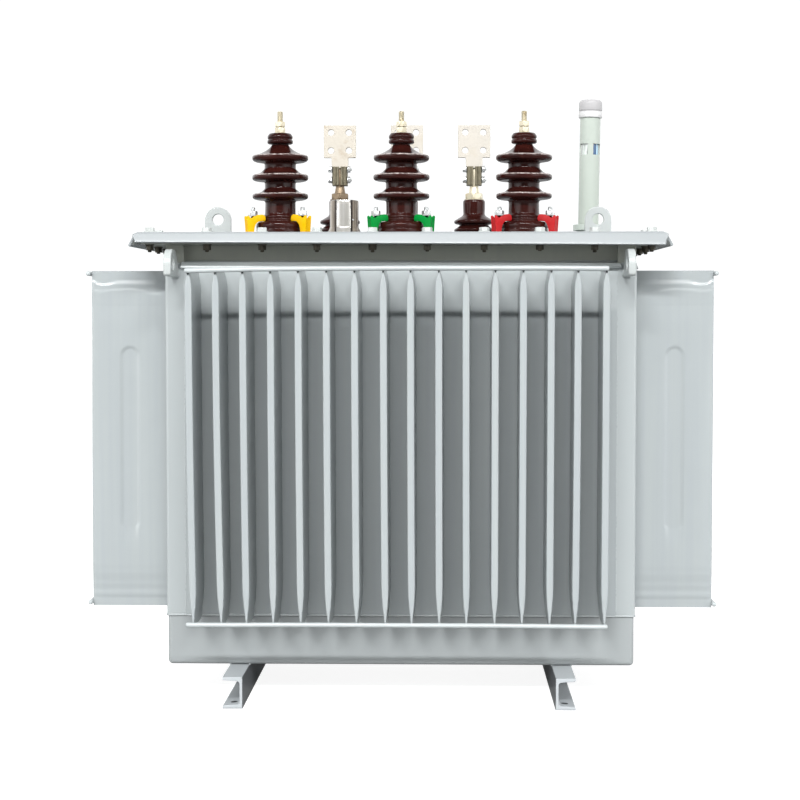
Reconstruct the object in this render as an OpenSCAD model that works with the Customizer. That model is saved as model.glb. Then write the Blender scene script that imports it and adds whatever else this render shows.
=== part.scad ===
/* [Tank] */
// Width of the tank across its corner plates
tank_w = 960; // [940:2:1000]
// Depth of the tank across its corner plates
tank_d = 480; // [460:2:520]
// Height of the seam between the bottom tray and the ribbed walls
seam_z = 166; // [150:1:180]
// Height of the top of the ribbed walls
wall_top_z = 877; // [860:1:890]
// Height of the top face of the cover
cover_z = 947; // [940:1:960]

/* [Cooling fins] */
// Number of fins on the front wall and on the back wall
front_fins = 16; // [8:2:16]
// Number of fins on each side wall
side_fins = 7; // [3:2:7]
// Distance from one fin to the next
fin_pitch = 55; // [50:1:56]
// Depth of the front and back fins
front_fin_d = 130; // [80:1:140]
// Depth of the side fins
side_fin_d = 166; // [100:1:180]
// Thickness of a fin across its two faces
fin_t = 14; // [8:0.5:15]
// Thickness of a fin at its pressed and welded ends
fin_end_t = 3; // [2:0.5:5]
// Diameter of the rods welded across the fin tips
rod_d = 9; // [6:0.5:10]

/* [Feet] */
// Height of the foot channels
foot_h = 63; // [50:1:80]
// Width of the foot channels
foot_w = 40; // [35:1:50]
// Length of the foot channels
foot_l = 740; // [700:5:760]
// Distance between the two rows of mounting holes
foot_gauge = 660; // [600:5:680]
// Distance between the mounting holes along a channel
foot_hole_l = 680; // [600:5:690]
// Diameter of the mounting holes
foot_hole_d = 14; // [12:1:18]

/* [Bushings] */
// Spacing of the high-voltage bushings
hv_pitch = 253; // [230:1:260]
// Distance of the high-voltage row in front of the middle
hv_y = 140; // [120:1:160]
// Spacing of the low-voltage terminals
lv_pitch = 150; // [130:1:160]
// Distance of the low-voltage row behind the middle
lv_y = 133; // [110:1:160]
// Width and height of the low-voltage palms
palm_w = 72; // [64:1:80]
// Spacing of the holes in a palm
palm_hole_pitch = 40; // [35:1:45]
// Diameter of the holes in a palm
palm_hole_d = 14; // [11:1:16]

/* [Fittings] */
// Half the distance between the two cover lifting eyes
eye_x = 411; // [380:1:420]
// Diameter of the hole in a cover lifting eye
eye_hole_d = 24; // [18:1:28]
// Diameter of the hole in a tank lug
lug_hole_d = 30; // [22:1:34]
// Diameter of the oil level tube
gauge_d = 46; // [40:1:52]

/* [Hidden] */

$fn = 48;
paint = [0.80, 0.83, 0.85];
wall_t = 4;
corner_w = 39;
half_w = tank_w / 2;
half_d = tank_d / 2;
web_x = foot_gauge / 2 - 20;
tray_inset = 2;
ledge_x = half_w - 31;
ledge_y = half_d - 31;
neck_x = half_w - 34;
neck_y = half_d - 27;
post_y = half_d - 8;
corner_top_z = wall_top_z + 9;
ledge_h = 13.5;
flange_z = 923;
gasket_z = 931;
cover_t = 6;
cover_x = half_w + 46;
cover_y = half_d + 60;
rod_front_top_z = wall_top_z - 7;
rod_front_bottom_z = seam_z + 0.3;
rod_side_top_z = wall_top_z - 9.5;
rod_side_bottom_z = seam_z + 15;
hv_x = [-hv_pitch, 0, hv_pitch + 2];
lv_x = [6 - lv_pitch, 6, 6 + lv_pitch];
gauge_x = 410;
gauge_y = 120;
valve_x = -125;
valve_y = -40;
lug_x = 452;
lug_t = 15;
eye_shift = 10;
fin_shift = -3;
gauge_lean = 0.9;

// A box from one corner to the opposite one
module slab(a, b) {
  translate(a) cube([b[0] - a[0], b[1] - a[1], b[2] - a[2]]);
}

// Foot channel, open outwards, lying from front to back
module channel(side) {
  color(paint) difference() {
    translate([side * web_x, foot_l / 2, 0]) rotate([90, 0, 0]) linear_extrude(foot_l)
      scale([side, 1]) polygon([
        [0, 0], [foot_w, 0], [foot_w, 6], [9.5, 8.4], [6, 12],
        [6, foot_h - 12], [9.5, foot_h - 8.4], [foot_w, foot_h - 6],
        [foot_w, foot_h], [0, foot_h]]);
    for (y = [-1, 1]) translate([side * foot_gauge / 2, y * foot_hole_l / 2, -1])
      cylinder(d = foot_hole_d, h = 12);
  }
}

// Bottom tray of the tank, with its lower edges rolled round
module base_tray() {
  x = half_w - tray_inset;
  y = half_d - tray_inset;
  h = seam_z - foot_h;
  r = 10;
  color(paint) intersection() {
    translate([0, y, foot_h]) rotate([90, 0, 0]) linear_extrude(2 * y) union() {
      translate([-x, r]) square([2 * x, h - r]);
      translate([r - x, 0]) square([2 * (x - r), r + 1]);
      for (s = [-1, 1]) translate([s * (x - r), r]) circle(r);
    }
    translate([-x, 0, foot_h]) rotate([90, 0, 90]) linear_extrude(2 * x) union() {
      translate([-y, r]) square([2 * y, h - r]);
      translate([r - y, 0]) square([2 * (y - r), r + 1]);
      for (s = [-1, 1]) translate([s * (y - r), r]) circle(r);
    }
  }
}

// Tank between the tray and the rim, with its ledge, neck and corner posts
module tank_body() {
  color(paint) union() {
    difference() {
      slab([-half_w, -half_d, seam_z], [half_w, half_d, wall_top_z]);
      for (s = [0, 180]) rotate([0, 0, s]) {
        slab([-half_w + corner_w, -half_d - 1, seam_z - 1], [half_w - corner_w, -half_d + wall_t, wall_top_z + 1]);
        slab([half_w - wall_t, -half_d + corner_w, seam_z - 1], [half_w + 1, half_d - corner_w, wall_top_z + 1]);
      }
    }
    slab([-ledge_x, -half_d - 6, wall_top_z - 1], [ledge_x, half_d + 6, wall_top_z + ledge_h]);
    slab([-half_w - 6, -ledge_y, wall_top_z - 1], [half_w + 6, ledge_y, wall_top_z + ledge_h]);
    slab([-half_w, -half_d, wall_top_z - 1], [half_w, half_d, corner_top_z]);
    slab([-neck_x, -neck_y, wall_top_z], [neck_x, neck_y, flange_z]);
    slab([-half_w + 22, -ledge_y, wall_top_z], [half_w - 22, ledge_y, flange_z]);
    for (sx = [-1, 1]) for (sy = [-1, 1]) scale([sx, sy, 1])
      slab([neck_x - 4, neck_y - 20, wall_top_z], [half_w - 1, post_y, flange_z]);
  }
}

// Flat rim that the cover bolts down to
module rim_flange() {
  color(paint) difference() {
    slab([-cover_x + 6, -cover_y + 6, flange_z], [cover_x - 6, cover_y - 6, gasket_z]);
    slab([-neck_x + 20, -neck_y + 20, flange_z - 1], [neck_x - 20, neck_y - 20, gasket_z + 1]);
  }
}

module cover_gasket() {
  color([0.1, 0.1, 0.1]) difference() {
    slab([-cover_x + 10, -cover_y + 10, gasket_z], [cover_x - 10, cover_y - 10, cover_z - cover_t]);
    slab([-neck_x + 24, -neck_y + 24, gasket_z - 1], [neck_x - 24, neck_y - 24, cover_z]);
  }
}

// One blade standing on the plane y = 0 and reaching to y = -depth
module fin(depth, z0, z1) {
  a = fin_end_t / 2;
  b = fin_t / 2;
  rotate([90, 0, 0]) linear_extrude(depth) polygon([
    [-a, z0], [a, z0], [a, z0 + 20], [b, z0 + 74], [b, z1 - 52], [a, z1 - 20],
    [a, z1], [-a, z1], [-a, z1 - 20], [-b, z1 - 52], [-b, z0 + 74], [-a, z0 + 20]]);
}

// Ribbed wall seen from its outer side, standing on the plane y = 0
module fin_wall(width, count, depth, z0, z1, shift = 0) {
  color(paint) union() {
    slab([-width / 2, 0, seam_z], [width / 2, wall_t, wall_top_z]);
    for (i = [0 : count - 1])
      translate([(i - (count - 1) / 2) * fin_pitch + shift, 1, 0]) fin(depth + 1, z0, z1);
  }
}

module fin_wall_fb() {
  fin_wall(tank_w - 2 * corner_w, front_fins, front_fin_d, seam_z - 4, wall_top_z - 6, fin_shift);
}

module fin_wall_lr() {
  fin_wall(tank_d - 2 * corner_w, side_fins, side_fin_d, seam_z + 7, wall_top_z - 4);
}

// Two rods along X, in front of the plane y = 0
module rods(x0, x1, z0, z1) {
  color(paint) for (z = [z0, z1])
    translate([x0, -rod_d / 2 + 0.05, z]) rotate([0, 90, 0]) cylinder(d = rod_d, h = x1 - x0);
}

// Cover plate with four lips bent down and outwards
module cover() {
  lip_x = cover_x - 1;
  lip_y = cover_y - 9;
  color(paint) union() {
    slab([-cover_x, -cover_y, cover_z - cover_t], [cover_x, cover_y, cover_z]);
    for (s = [0, 180]) rotate([0, 0, s]) {
      translate([-lip_x, -cover_y, cover_z]) rotate([90, 0, 90]) linear_extrude(2 * lip_x)
        polygon([[1, 0], [-4.5, -1.5], [-8, -6], [-15, -24], [-9.3, -26], [-3, -9], [1, -6]]);
      translate([cover_x, lip_y, cover_z]) rotate([90, 0, 0]) linear_extrude(2 * lip_y)
        polygon([[-2, 0], [3, -1.1], [7, -4], [9.6, -8.4], [20.6, -27], [15.3, -29.8], [3, -8.6], [-2, -6]]);
    }
  }
}

// Lug on a corner of the tank, drawn for the front right corner
module tank_lug_shape() {
  y = -half_d;
  color(paint) difference() {
    translate([lug_x, 0, 0]) rotate([90, 0, 90]) linear_extrude(lug_t) hull() {
      polygon([[y + 1, 858], [y - 100, 858], [y - 105, 863], [y - 105, 878], [y - 36, 912], [y - 30, 909], [y + 1, 874]]);
      translate([y - 73, 880]) circle(32);
    }
    translate([lug_x - 1, y - 68, 884]) rotate([0, 90, 0]) cylinder(d = lug_hole_d, h = lug_t + 2);
  }
}

// Upright lifting eye on the cover
module lifting_eye(x) {
  color(paint) difference() {
    translate([x, 6, cover_z]) rotate([90, 0, 0]) linear_extrude(12) union() {
      translate([-28.5, 0]) square([57, 40.5]);
      translate([0, 40.5]) circle(28.5);
    }
    translate([x, 7, cover_z + 41.5]) rotate([90, 0, 0]) cylinder(d = eye_hole_d, h = 14);
  }
}

// High-voltage porcelain: radius and height of each edge above the cover
hv_profile = [
  [0, 0], [49, 0], [50, 2], [50, 20], [49, 25], [46, 27.9], [36, 27.9], [35, 29.5], [35, 42], [32.5, 44.6], [32, 46],
  [31.8, 72], [44, 73.2], [54, 75.4], [58, 78.6], [58.3, 82], [56.8, 85.8], [48, 87.8], [40, 90.5], [35, 94.5], [32.3, 99],
  [32.3, 111], [44, 112], [54, 113.8], [58, 117], [58.3, 121.5], [56.8, 125.6], [48, 127.8], [40, 131], [35, 135.5], [32.3, 140.5],
  [32.3, 150], [44, 151], [54, 153.6], [58, 157.5], [58.3, 161.5], [56.8, 165.6], [50, 167.4], [40, 171], [32, 175],
  [25, 179.6], [20, 184.3], [17.5, 188.4], [20, 189.6], [25.4, 191.2], [26.5, 194], [26.2, 197.4], [24.8, 199], [24.8, 200.4],
  [26.3, 202], [26.5, 206], [25, 208.6], [23, 209.6], [22.6, 211.9], [0, 211.9]];

module hv_bushing(x) {
  color([0.2, 0.09, 0.06]) translate([x, -hv_y, cover_z]) difference() {
    rotate_extrude() polygon(hv_profile);
    translate([0, 0, 180]) cylinder(d = 12, h = 40);
  }
}

// Threaded rod with its nuts, on top of a high-voltage bushing
module hv_stud(x) {
  color([0.8, 0.78, 0.7]) translate([x, -hv_y, cover_z]) union() {
    translate([0, 0, 180]) cylinder(d = 12, h = 77.8);
    translate([0, 0, 211.9]) cylinder(d = 25, h = 2.1);
    translate([0, 0, 214]) cylinder(d = 21.9, h = 11, $fn = 6);
    translate([0, 0, 226]) cylinder(d = 21.9, h = 10.5, $fn = 6);
  }
}

// Three hooked clamps that hold a bushing down, with their studs and nuts
module hv_clamps(x, turn, c) {
  color(c) translate([x, -hv_y, cover_z]) for (a = [-150, -30, 90])
    rotate([0, 0, a + turn]) union() {
      rotate([90, 0, 0]) translate([0, 0, -9]) linear_extrude(18)
        polygon([[36, 28.2], [47.5, 28.2], [52, 26.5], [56, 22], [59, 14], [60.5, 6], [60.5, 0], [73.5, 0],
                 [76.5, 38], [74, 41.5], [44, 43], [38, 41.5], [35.6, 38], [35.4, 31]]);
      translate([60.5, 0, 30]) cylinder(d = 10, h = 27.6);
      translate([60.5, 0, 41]) cylinder(d = 19.6, h = 9.5, $fn = 6);
    }
}

lv_profile = [
  [0, 0], [40, 0], [40, 8], [33, 12], [33, 19], [41, 20.5], [44.5, 24], [43.8, 27.5],
  [36, 32], [32.5, 34.5], [32.3, 37], [42, 38.5], [44.8, 42], [44.2, 46], [37, 51], [27, 56], [24.3, 60],
  [24, 64], [24.5, 66], [24.5, 89], [22.5, 92.2], [0, 92.2]];

module lv_bushing(x) {
  color([0.22, 0.1, 0.07]) translate([x, lv_y, cover_z]) difference() {
    rotate_extrude() polygon(lv_profile);
    translate([0, 0, 60]) cylinder(d = 22, h = 40);
  }
}

module lv_stud(x) {
  color([0.8, 0.77, 0.66]) translate([x, lv_y, cover_z]) union() {
    translate([0, 0, 60]) cylinder(d = 22, h = 100);
    translate([0, 0, 92.2]) cylinder(d = 44, h = 2);
    translate([0, 0, 94.2]) cylinder(d = 40, h = 12.7, $fn = 6);
  }
}

// Flat palm with a split clamp below it that grips the stud
module lv_palm(x) {
  z0 = cover_z + 124.6;
  z1 = z0 + 41.7;
  z2 = z1 + 20.4;
  color([0.82, 0.8, 0.72]) translate([x, lv_y, 0]) difference() {
    union() {
      translate([-17, -17, z0]) cube([34, 34, z1 - z0]);
      translate([-18.8, -5, z1]) cube([37.6, 10, z2 - z1 + 1]);
      translate([-palm_w / 2, -5, z2]) cube([palm_w, 10, palm_w]);
    }
    translate([0, 0, cover_z + 120]) cylinder(d = 22, h = 40);
    translate([-1.5, -18, z0 - 1]) cube([3, 18, 36]);
    for (sx = [-1, 1]) for (sz = [-1, 1])
      translate([sx * palm_hole_pitch / 2, 6, z2 + palm_w / 2 + sz * palm_hole_pitch / 2])
        rotate([90, 0, 0]) cylinder(d = palm_hole_d, h = 12);
  }
}

// Hexagonal pressure valve on a flared foot and a gasket
module relief_valve() {
  color([0.75, 0.75, 0.74]) translate([valve_x, valve_y, cover_z]) union() {
    cylinder(d = 76, h = 5);
    translate([0, 0, 5]) cylinder(d = 79, h = 6, $fn = 6);
    translate([0, 0, 11]) cylinder(d1 = 79, d2 = 66, h = 9, $fn = 6);
    translate([0, 0, 20]) cylinder(d = 66, h = 60.4, $fn = 6);
  }
}

module gauge_base() {
  color(paint) translate([gauge_x, gauge_y, cover_z]) union() {
    cylinder(d = 50, h = 23.5);
    translate([0, 0, 23]) cylinder(d = 67, h = 13.6);
  }
}

// The tube and its cap stand slightly out of upright
module leaning() {
  translate([gauge_x, gauge_y, cover_z + 36.6]) rotate([0, gauge_lean, 0])
    translate([0, 0, -cover_z - 36.6]) children();
}

module gauge_tube() {
  z = cover_z + 36.6;
  color([0.72, 0.78, 0.74]) leaning() difference() {
    translate([0, 0, z]) cylinder(d = gauge_d, h = 236);
    translate([0, 0, 1137]) difference() {
      union() for (a = [-150, -90, -30]) rotate([0, 0, a])
        translate([gauge_d / 2 - 5, -7, 0]) cube([10, 14, 25]);
      cylinder(d = gauge_d - 6, h = 25);
    }
  }
}

module gauge_cap() {
  color([0.86, 0.85, 0.8]) leaning() translate([0, 0, cover_z + 272.6]) rotate_extrude() polygon([
    [0, 0], [26, 0], [26, 12], [24.5, 13], [24.5, 15], [25.6, 16], [25.6, 32], [23, 37], [17, 39.2], [0, 39.2]]);
}

channel(-1);  // channel_left
channel(1);  // channel_right
base_tray();
tank_body();
rim_flange();
cover_gasket();
translate([0, -half_d, 0]) fin_wall_fb();  // fin_wall_front
rotate([0, 0, 180]) translate([0, -half_d, 0]) fin_wall_fb();  // fin_wall_back
rotate([0, 0, -90]) translate([0, -half_w, 0]) fin_wall_lr();  // fin_wall_left
rotate([0, 0, 90]) translate([0, -half_w, 0]) fin_wall_lr();  // fin_wall_right
translate([0, -half_d - front_fin_d, 0]) rods(-421, 411, rod_front_bottom_z, rod_front_top_z);  // fin_rods_front
rotate([0, 0, 180]) translate([0, -half_d - front_fin_d, 0]) rods(-421, 411, rod_front_bottom_z, rod_front_top_z);  // fin_rods_back
rotate([0, 0, -90]) translate([0, -half_w - side_fin_d, 0]) rods(-180, 180, rod_side_bottom_z, rod_side_top_z);  // fin_rods_left
rotate([0, 0, 90]) translate([0, -half_w - side_fin_d, 0]) rods(-180, 180, rod_side_bottom_z, rod_side_top_z);  // fin_rods_right
cover();
mirror([1, 0, 0]) tank_lug_shape();  // tank_lug_front_left
tank_lug_shape();  // tank_lug_front_right
mirror([1, 0, 0]) mirror([0, 1, 0]) tank_lug_shape();  // tank_lug_back_left
mirror([0, 1, 0]) tank_lug_shape();  // tank_lug_back_right
lifting_eye(eye_shift - eye_x);  // lifting_eye_left
lifting_eye(eye_shift + eye_x);  // lifting_eye_right
hv_bushing(hv_x[0]);  // hv_bushing_left
hv_bushing(hv_x[1]);  // hv_bushing_middle
hv_bushing(hv_x[2]);  // hv_bushing_right
hv_stud(hv_x[0]);  // hv_stud_left
hv_stud(hv_x[1]);  // hv_stud_middle
hv_stud(hv_x[2]);  // hv_stud_right
hv_clamps(hv_x[0], -5, [0.95, 0.8, 0.1]);  // hv_clamps_left
hv_clamps(hv_x[1], 0, [0.05, 0.55, 0.2]);  // hv_clamps_middle
hv_clamps(hv_x[2], 1, [0.75, 0.08, 0.06]);  // hv_clamps_right
lv_bushing(lv_x[0]);  // lv_bushing_left
lv_bushing(lv_x[1]);  // lv_bushing_middle
lv_bushing(lv_x[2]);  // lv_bushing_right
lv_stud(lv_x[0]);  // lv_stud_left
lv_stud(lv_x[1]);  // lv_stud_middle
lv_stud(lv_x[2]);  // lv_stud_right
lv_palm(lv_x[0]);  // lv_palm_left
lv_palm(lv_x[1]);  // lv_palm_middle
lv_palm(lv_x[2]);  // lv_palm_right
relief_valve();
gauge_base();
gauge_tube();
gauge_cap();
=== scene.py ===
import math
import random

import bmesh
import bpy
from mathutils import Matrix, Vector, noise
from mathutils.geometry import tessellate_polygon


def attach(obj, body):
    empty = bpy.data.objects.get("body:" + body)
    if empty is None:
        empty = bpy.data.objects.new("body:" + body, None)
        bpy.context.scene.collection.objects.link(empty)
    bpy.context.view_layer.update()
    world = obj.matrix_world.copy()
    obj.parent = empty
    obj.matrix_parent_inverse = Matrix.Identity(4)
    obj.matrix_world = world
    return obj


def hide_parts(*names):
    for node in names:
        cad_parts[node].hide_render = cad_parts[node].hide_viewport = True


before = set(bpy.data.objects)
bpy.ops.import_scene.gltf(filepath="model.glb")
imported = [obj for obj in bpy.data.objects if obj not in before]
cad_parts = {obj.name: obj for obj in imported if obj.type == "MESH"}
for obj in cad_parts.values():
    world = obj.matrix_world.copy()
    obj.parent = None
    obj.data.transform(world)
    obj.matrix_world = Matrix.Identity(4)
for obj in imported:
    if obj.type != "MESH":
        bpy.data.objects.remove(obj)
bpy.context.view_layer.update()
RNG = random.Random(11)
MM = 0.001
PI = math.pi

# ----------------------------------------------------------------------------
# materials
# ----------------------------------------------------------------------------


class Graph:
    """A short way to write a node material."""

    def __init__(self, name):
        self.mat = bpy.data.materials.new(name)
        self.mat.use_nodes = True
        self.nt = self.mat.node_tree
        self.nt.nodes.clear()
        self.out = self.nt.nodes.new("ShaderNodeOutputMaterial")
        self.bsdf = self.nt.nodes.new("ShaderNodeBsdfPrincipled")
        self.nt.links.new(self.bsdf.outputs[0], self.out.inputs[0])
        tc = self.nt.nodes.new("ShaderNodeTexCoord")
        self.obj = tc.outputs["Object"]

    def link(self, a, b):
        self.nt.links.new(a, b)

    def noise(self, scale, detail=3.0, rough=0.5, vec=None, distort=0.0):
        n = self.nt.nodes.new("ShaderNodeTexNoise")
        n.inputs["Scale"].default_value = scale
        n.inputs["Detail"].default_value = detail
        n.inputs["Roughness"].default_value = rough
        n.inputs["Distortion"].default_value = distort
        self.link(vec or self.obj, n.inputs["Vector"])
        return n.outputs["Fac"]

    def scaled(self, sx, sy, sz, vec=None):
        n = self.nt.nodes.new("ShaderNodeMapping")
        n.inputs["Scale"].default_value = (sx, sy, sz)
        self.link(vec or self.obj, n.inputs["Vector"])
        return n.outputs[0]

    def remap(self, fac, a, b, c, d):
        n = self.nt.nodes.new("ShaderNodeMapRange")
        n.inputs["From Min"].default_value = a
        n.inputs["From Max"].default_value = b
        n.inputs["To Min"].default_value = c
        n.inputs["To Max"].default_value = d
        self.link(fac, n.inputs["Value"])
        return n.outputs["Result"]

    def mix(self, fac, a, b, mode="MIX"):
        n = self.nt.nodes.new("ShaderNodeMix")
        n.data_type = "RGBA"
        n.blend_type = mode
        if isinstance(fac, (int, float)):
            n.inputs[0].default_value = fac
        else:
            self.link(fac, n.inputs[0])
        for v, s in ((a, n.inputs[6]), (b, n.inputs[7])):
            if isinstance(v, tuple):
                s.default_value = (*v, 1.0)
            else:
                self.link(v, s)
        return n.outputs[2]

    def math(self, op, a, b=None):
        n = self.nt.nodes.new("ShaderNodeMath")
        n.operation = op
        for v, s in ((a, n.inputs[0]), (b, n.inputs[1])):
            if v is None:
                continue
            if isinstance(v, (int, float)):
                s.default_value = v
            else:
                self.link(v, s)
        return n.outputs[0]

    def axis(self, i, vec=None):
        n = self.nt.nodes.new("ShaderNodeSeparateXYZ")
        self.link(vec or self.obj, n.inputs[0])
        return n.outputs[i]

    def bump(self, height, strength, distance, prev=None):
        n = self.nt.nodes.new("ShaderNodeBump")
        n.inputs["Strength"].default_value = strength
        n.inputs["Distance"].default_value = distance
        self.link(height, n.inputs["Height"])
        if prev is not None:
            self.link(prev, n.inputs["Normal"])
        return n.outputs[0]

    def set(self, **kw):
        for k, v in kw.items():
            s = self.bsdf.inputs[k.replace("_", " ")]
            if isinstance(v, (int, float)):
                s.default_value = v
            elif isinstance(v, tuple):
                s.default_value = (*v, 1.0) if len(v) == 3 else v
            else:
                self.link(v, s)
        return self.mat


def col(r, g, b):
    """An sRGB colour, 0 to 255, as linear."""
    def f(c):
        c /= 255.0
        return c / 12.92 if c <= 0.04045 else ((c + 0.055) / 1.055) ** 2.4
    return (f(r), f(g), f(b))


def paint(name, rgb, rough=0.32, tint=0.05, peel=0.25, dirt=0.0, coat=0.25, spec=0.5, streaks=0.0, crease_shade=0.0, extra=None):
    g = Graph(name)
    big = g.noise(3.0, 4.0, 0.55)
    mid = g.noise(22.0, 3.0, 0.6)
    base = col(*rgb)
    lo_c = tuple(c * (1 - tint) for c in base)
    hi_c = tuple(min(1.0, c * (1 + tint * 0.6)) for c in base)
    c = g.mix(g.remap(big, 0.3, 0.7, 0.0, 1.0), lo_c, hi_c)
    c = g.mix(g.remap(mid, 0.35, 0.75, 0.0, 0.03), c, (0.5, 0.52, 0.5))
    if streaks:
        run = g.noise(70.0, 2.0, 0.5, vec=g.scaled(1.0, 1.0, 0.02))
        c = g.mix(g.remap(run, 0.35, 0.65, 0.0, streaks), c, tuple(x * k for x, k in zip(base, (0.90, 0.91, 0.95))))
    if dirt:
        d = g.noise(9.0, 6.0, 0.7)
        c = g.mix(g.remap(d, 0.6, 0.8, 0.0, dirt), c, col(120, 112, 98))
    peel_n = g.noise(260.0, 2.0, 0.5)
    sag = g.noise(34.0, 2.0, 0.5)
    n = g.bump(peel_n, peel, 0.00025)
    n = g.bump(sag, 0.05, 0.0012, n)
    r = g.remap(mid, 0.3, 0.7, rough, rough + 0.015)
    if crease_shade:
        # painted shade: the colour is darkened in tight corners and creases, found by ambient occlusion
        ao = g.nt.nodes.new("ShaderNodeAmbientOcclusion")
        ao.samples = 4
        ao.inputs["Distance"].default_value = 0.007
        c = g.mix(g.remap(ao.outputs["AO"], 0.25, 0.85, 0.0, 1.0), tuple(x * (1 - crease_shade) for x in base), c)
    if extra:
        c = extra(g, c)
    return g.set(Base_Color=c, Roughness=r, Normal=n, Specular_IOR_Level=spec,
                 Coat_Weight=coat, Coat_Roughness=0.12)


def web_painted_shade(g, c):
    """Painted shade: the web's inner side, under the tank, is darkened in colour for the shade it lies in."""
    return g.mix(g.remap(g.math("ABSOLUTE", g.axis(0)), 0.3106, 0.3112, 0.75, 0.0), c, (0.020, 0.022, 0.026))


def lit_valley_tops(g, c):
    """Painted light: the top of the front and back valleys is a little lighter in colour than the rest, standing for
    the light that reaches in from above.
    """
    high = g.remap(g.axis(2), 0.787, 0.800, 0.0, 1.0)
    deep = g.remap(g.math("ABSOLUTE", g.axis(1)), 0.352, 0.362, 1.0, 0.0)
    middle = g.remap(g.math("ABSOLUTE", g.axis(0)), 0.442, 0.450, 1.0, 0.0)
    return g.mix(g.math("MULTIPLY", high, g.math("MULTIPLY", deep, middle)), c, col(170, 176, 177))


def white_band(g, c):
    """Ribbed band of the gauge cap, whiter than its crown."""
    return g.mix(g.remap(g.axis(2), 1.2318, 1.2324, 1.0, 0.0), c, col(196, 196, 196))


def tray_paint():
    """The tank paint, with painted shadow: darker near the top of the tray where the blades hang over it."""
    g = Graph("light_grey_paint_tray")
    base = col(149, 154, 155)
    c = g.mix(g.remap(g.noise(3.0, 4.0, 0.55), 0.3, 0.7, 0.0, 1.0), tuple(x * 0.98 for x in base), base)
    # painted shadow of the blades and lower rod: darkest at the top of the tray, towards the middle
    high = g.remap(g.axis(2), 0.112, 0.164, 0.0, 1.0)
    inner = g.remap(g.math("ABSOLUTE", g.axis(0)), 0.452, 0.425, 0.0, 0.3)
    c = g.mix(g.math("MULTIPLY", high, inner), c, (0.05, 0.055, 0.056))
    n = g.bump(g.noise(260.0, 2.0, 0.5), 0.12, 0.00025)
    n = g.bump(g.noise(34.0, 2.0, 0.5), 0.05, 0.0012, n)
    return g.set(Base_Color=c, Roughness=0.34, Normal=n, Coat_Weight=0.25, Coat_Roughness=0.12)


def glaze(name, rgb_dark, rgb_light, centres=()):
    g = Graph(name)
    n1 = g.noise(18.0, 4.0, 0.6)
    n2 = g.noise(120.0, 3.0, 0.6)
    c = g.mix(g.remap(n1, 0.3, 0.7, 0.0, 1.0), col(*rgb_dark), col(*rgb_light))
    c = g.mix(g.remap(n2, 0.62, 0.8, 0.0, 0.4), c, col(84, 42, 32))
    if centres:
        # painted highlight: a pale, broken line along the upper edge of each shed, where the rims catch the light
        level = g.scaled(1.0, 1.0, 0.0)
        near = None
        for cx, cy in centres:
            d = g.nt.nodes.new("ShaderNodeVectorMath")
            d.operation = "DISTANCE"
            g.link(level, d.inputs[0])
            d.inputs[1].default_value = (cx, cy, 0.0)
            near = d.outputs["Value"] if near is None else g.math("MINIMUM", near, d.outputs["Value"])
        facing = g.nt.nodes.new("ShaderNodeNewGeometry")
        up = g.axis(2, facing.outputs["Normal"])
        edge = g.math("MULTIPLY", g.remap(near, 0.0556, 0.0563, 0.0, 1.0), g.remap(up, 0.20, 0.45, 0.0, 1.0))
        edge = g.math("MULTIPLY", edge, g.remap(g.noise(150.0, 2.0, 0.6), 0.32, 0.58, 0.1, 0.7))
        c = g.mix(edge, c, col(190, 180, 176))
    n = g.bump(g.noise(60.0, 2.0, 0.5), 0.25, 0.0012)
    n = g.bump(g.noise(420.0, 2.0, 0.5), 0.12, 0.0002, n)
    return g.set(Base_Color=c, Roughness=g.remap(n2, 0.3, 0.8, 0.10, 0.22), Normal=n,
                 Specular_IOR_Level=0.12, Coat_Weight=0.08, Coat_Roughness=0.05)


def metal(name, rgb, rough, var=0.1, stretch=(1, 1, 1), stain=None, scale=60.0, bump=0.15, metallic=1.0):
    g = Graph(name)
    v = g.scaled(*stretch)
    n1 = g.noise(scale, 4.0, 0.6, vec=v)
    n2 = g.noise(28.0, 4.0, 0.6)
    base = col(*rgb)
    c = g.mix(g.remap(n1, 0.3, 0.7, 0.0, 1.0), tuple(x * (1 - var) for x in base),
              tuple(min(1.0, x * (1 + var * 0.5)) for x in base))
    if stain:
        c = g.mix(g.remap(n2, 0.55, 0.75, 0.0, 0.7), c, col(*stain))
    n = g.bump(g.noise(scale * 6, 2.0, 0.5, vec=v), bump, 0.0002)
    return g.set(Base_Color=c, Metallic=metallic, Roughness=g.remap(n1, 0.3, 0.7, rough * 0.8, rough * 1.3), Normal=n)


def plated_hex():
    """Bright plating of the relief valve, with painted reflection: pale flats at the front, dark lines at the corners
    and darker brown on the flats to the sides.
    """
    g = Graph("bright_plate")
    off = g.math("ABSOLUTE", g.math("SUBTRACT", g.axis(0), -0.1250))
    brush = g.noise(70.0, 3.0, 0.6, vec=g.scaled(1.0, 1.0, 0.06))
    flat = g.mix(g.remap(brush, 0.35, 0.65, 0.0, 1.0), col(226, 224, 220), col(198, 195, 188))
    # painted reflection: the flats turned to the sides are darker brown, and dark lines mark the corners
    away = g.mix(g.remap(brush, 0.35, 0.65, 0.0, 1.0), col(128, 118, 104), col(92, 82, 72))
    corner = g.remap(off, 0.0145, 0.0160, 0.0, 1.0)
    c = g.mix(corner, flat, col(44, 36, 30))
    c = g.mix(g.remap(off, 0.0182, 0.0205, 0.0, 1.0), c, away)
    n = g.bump(g.noise(400.0, 2.0, 0.5), 0.05, 0.0002)
    return g.set(Base_Color=c, Metallic=0.55, Roughness=g.remap(brush, 0.3, 0.7, 0.12, 0.2), Normal=n)


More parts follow.
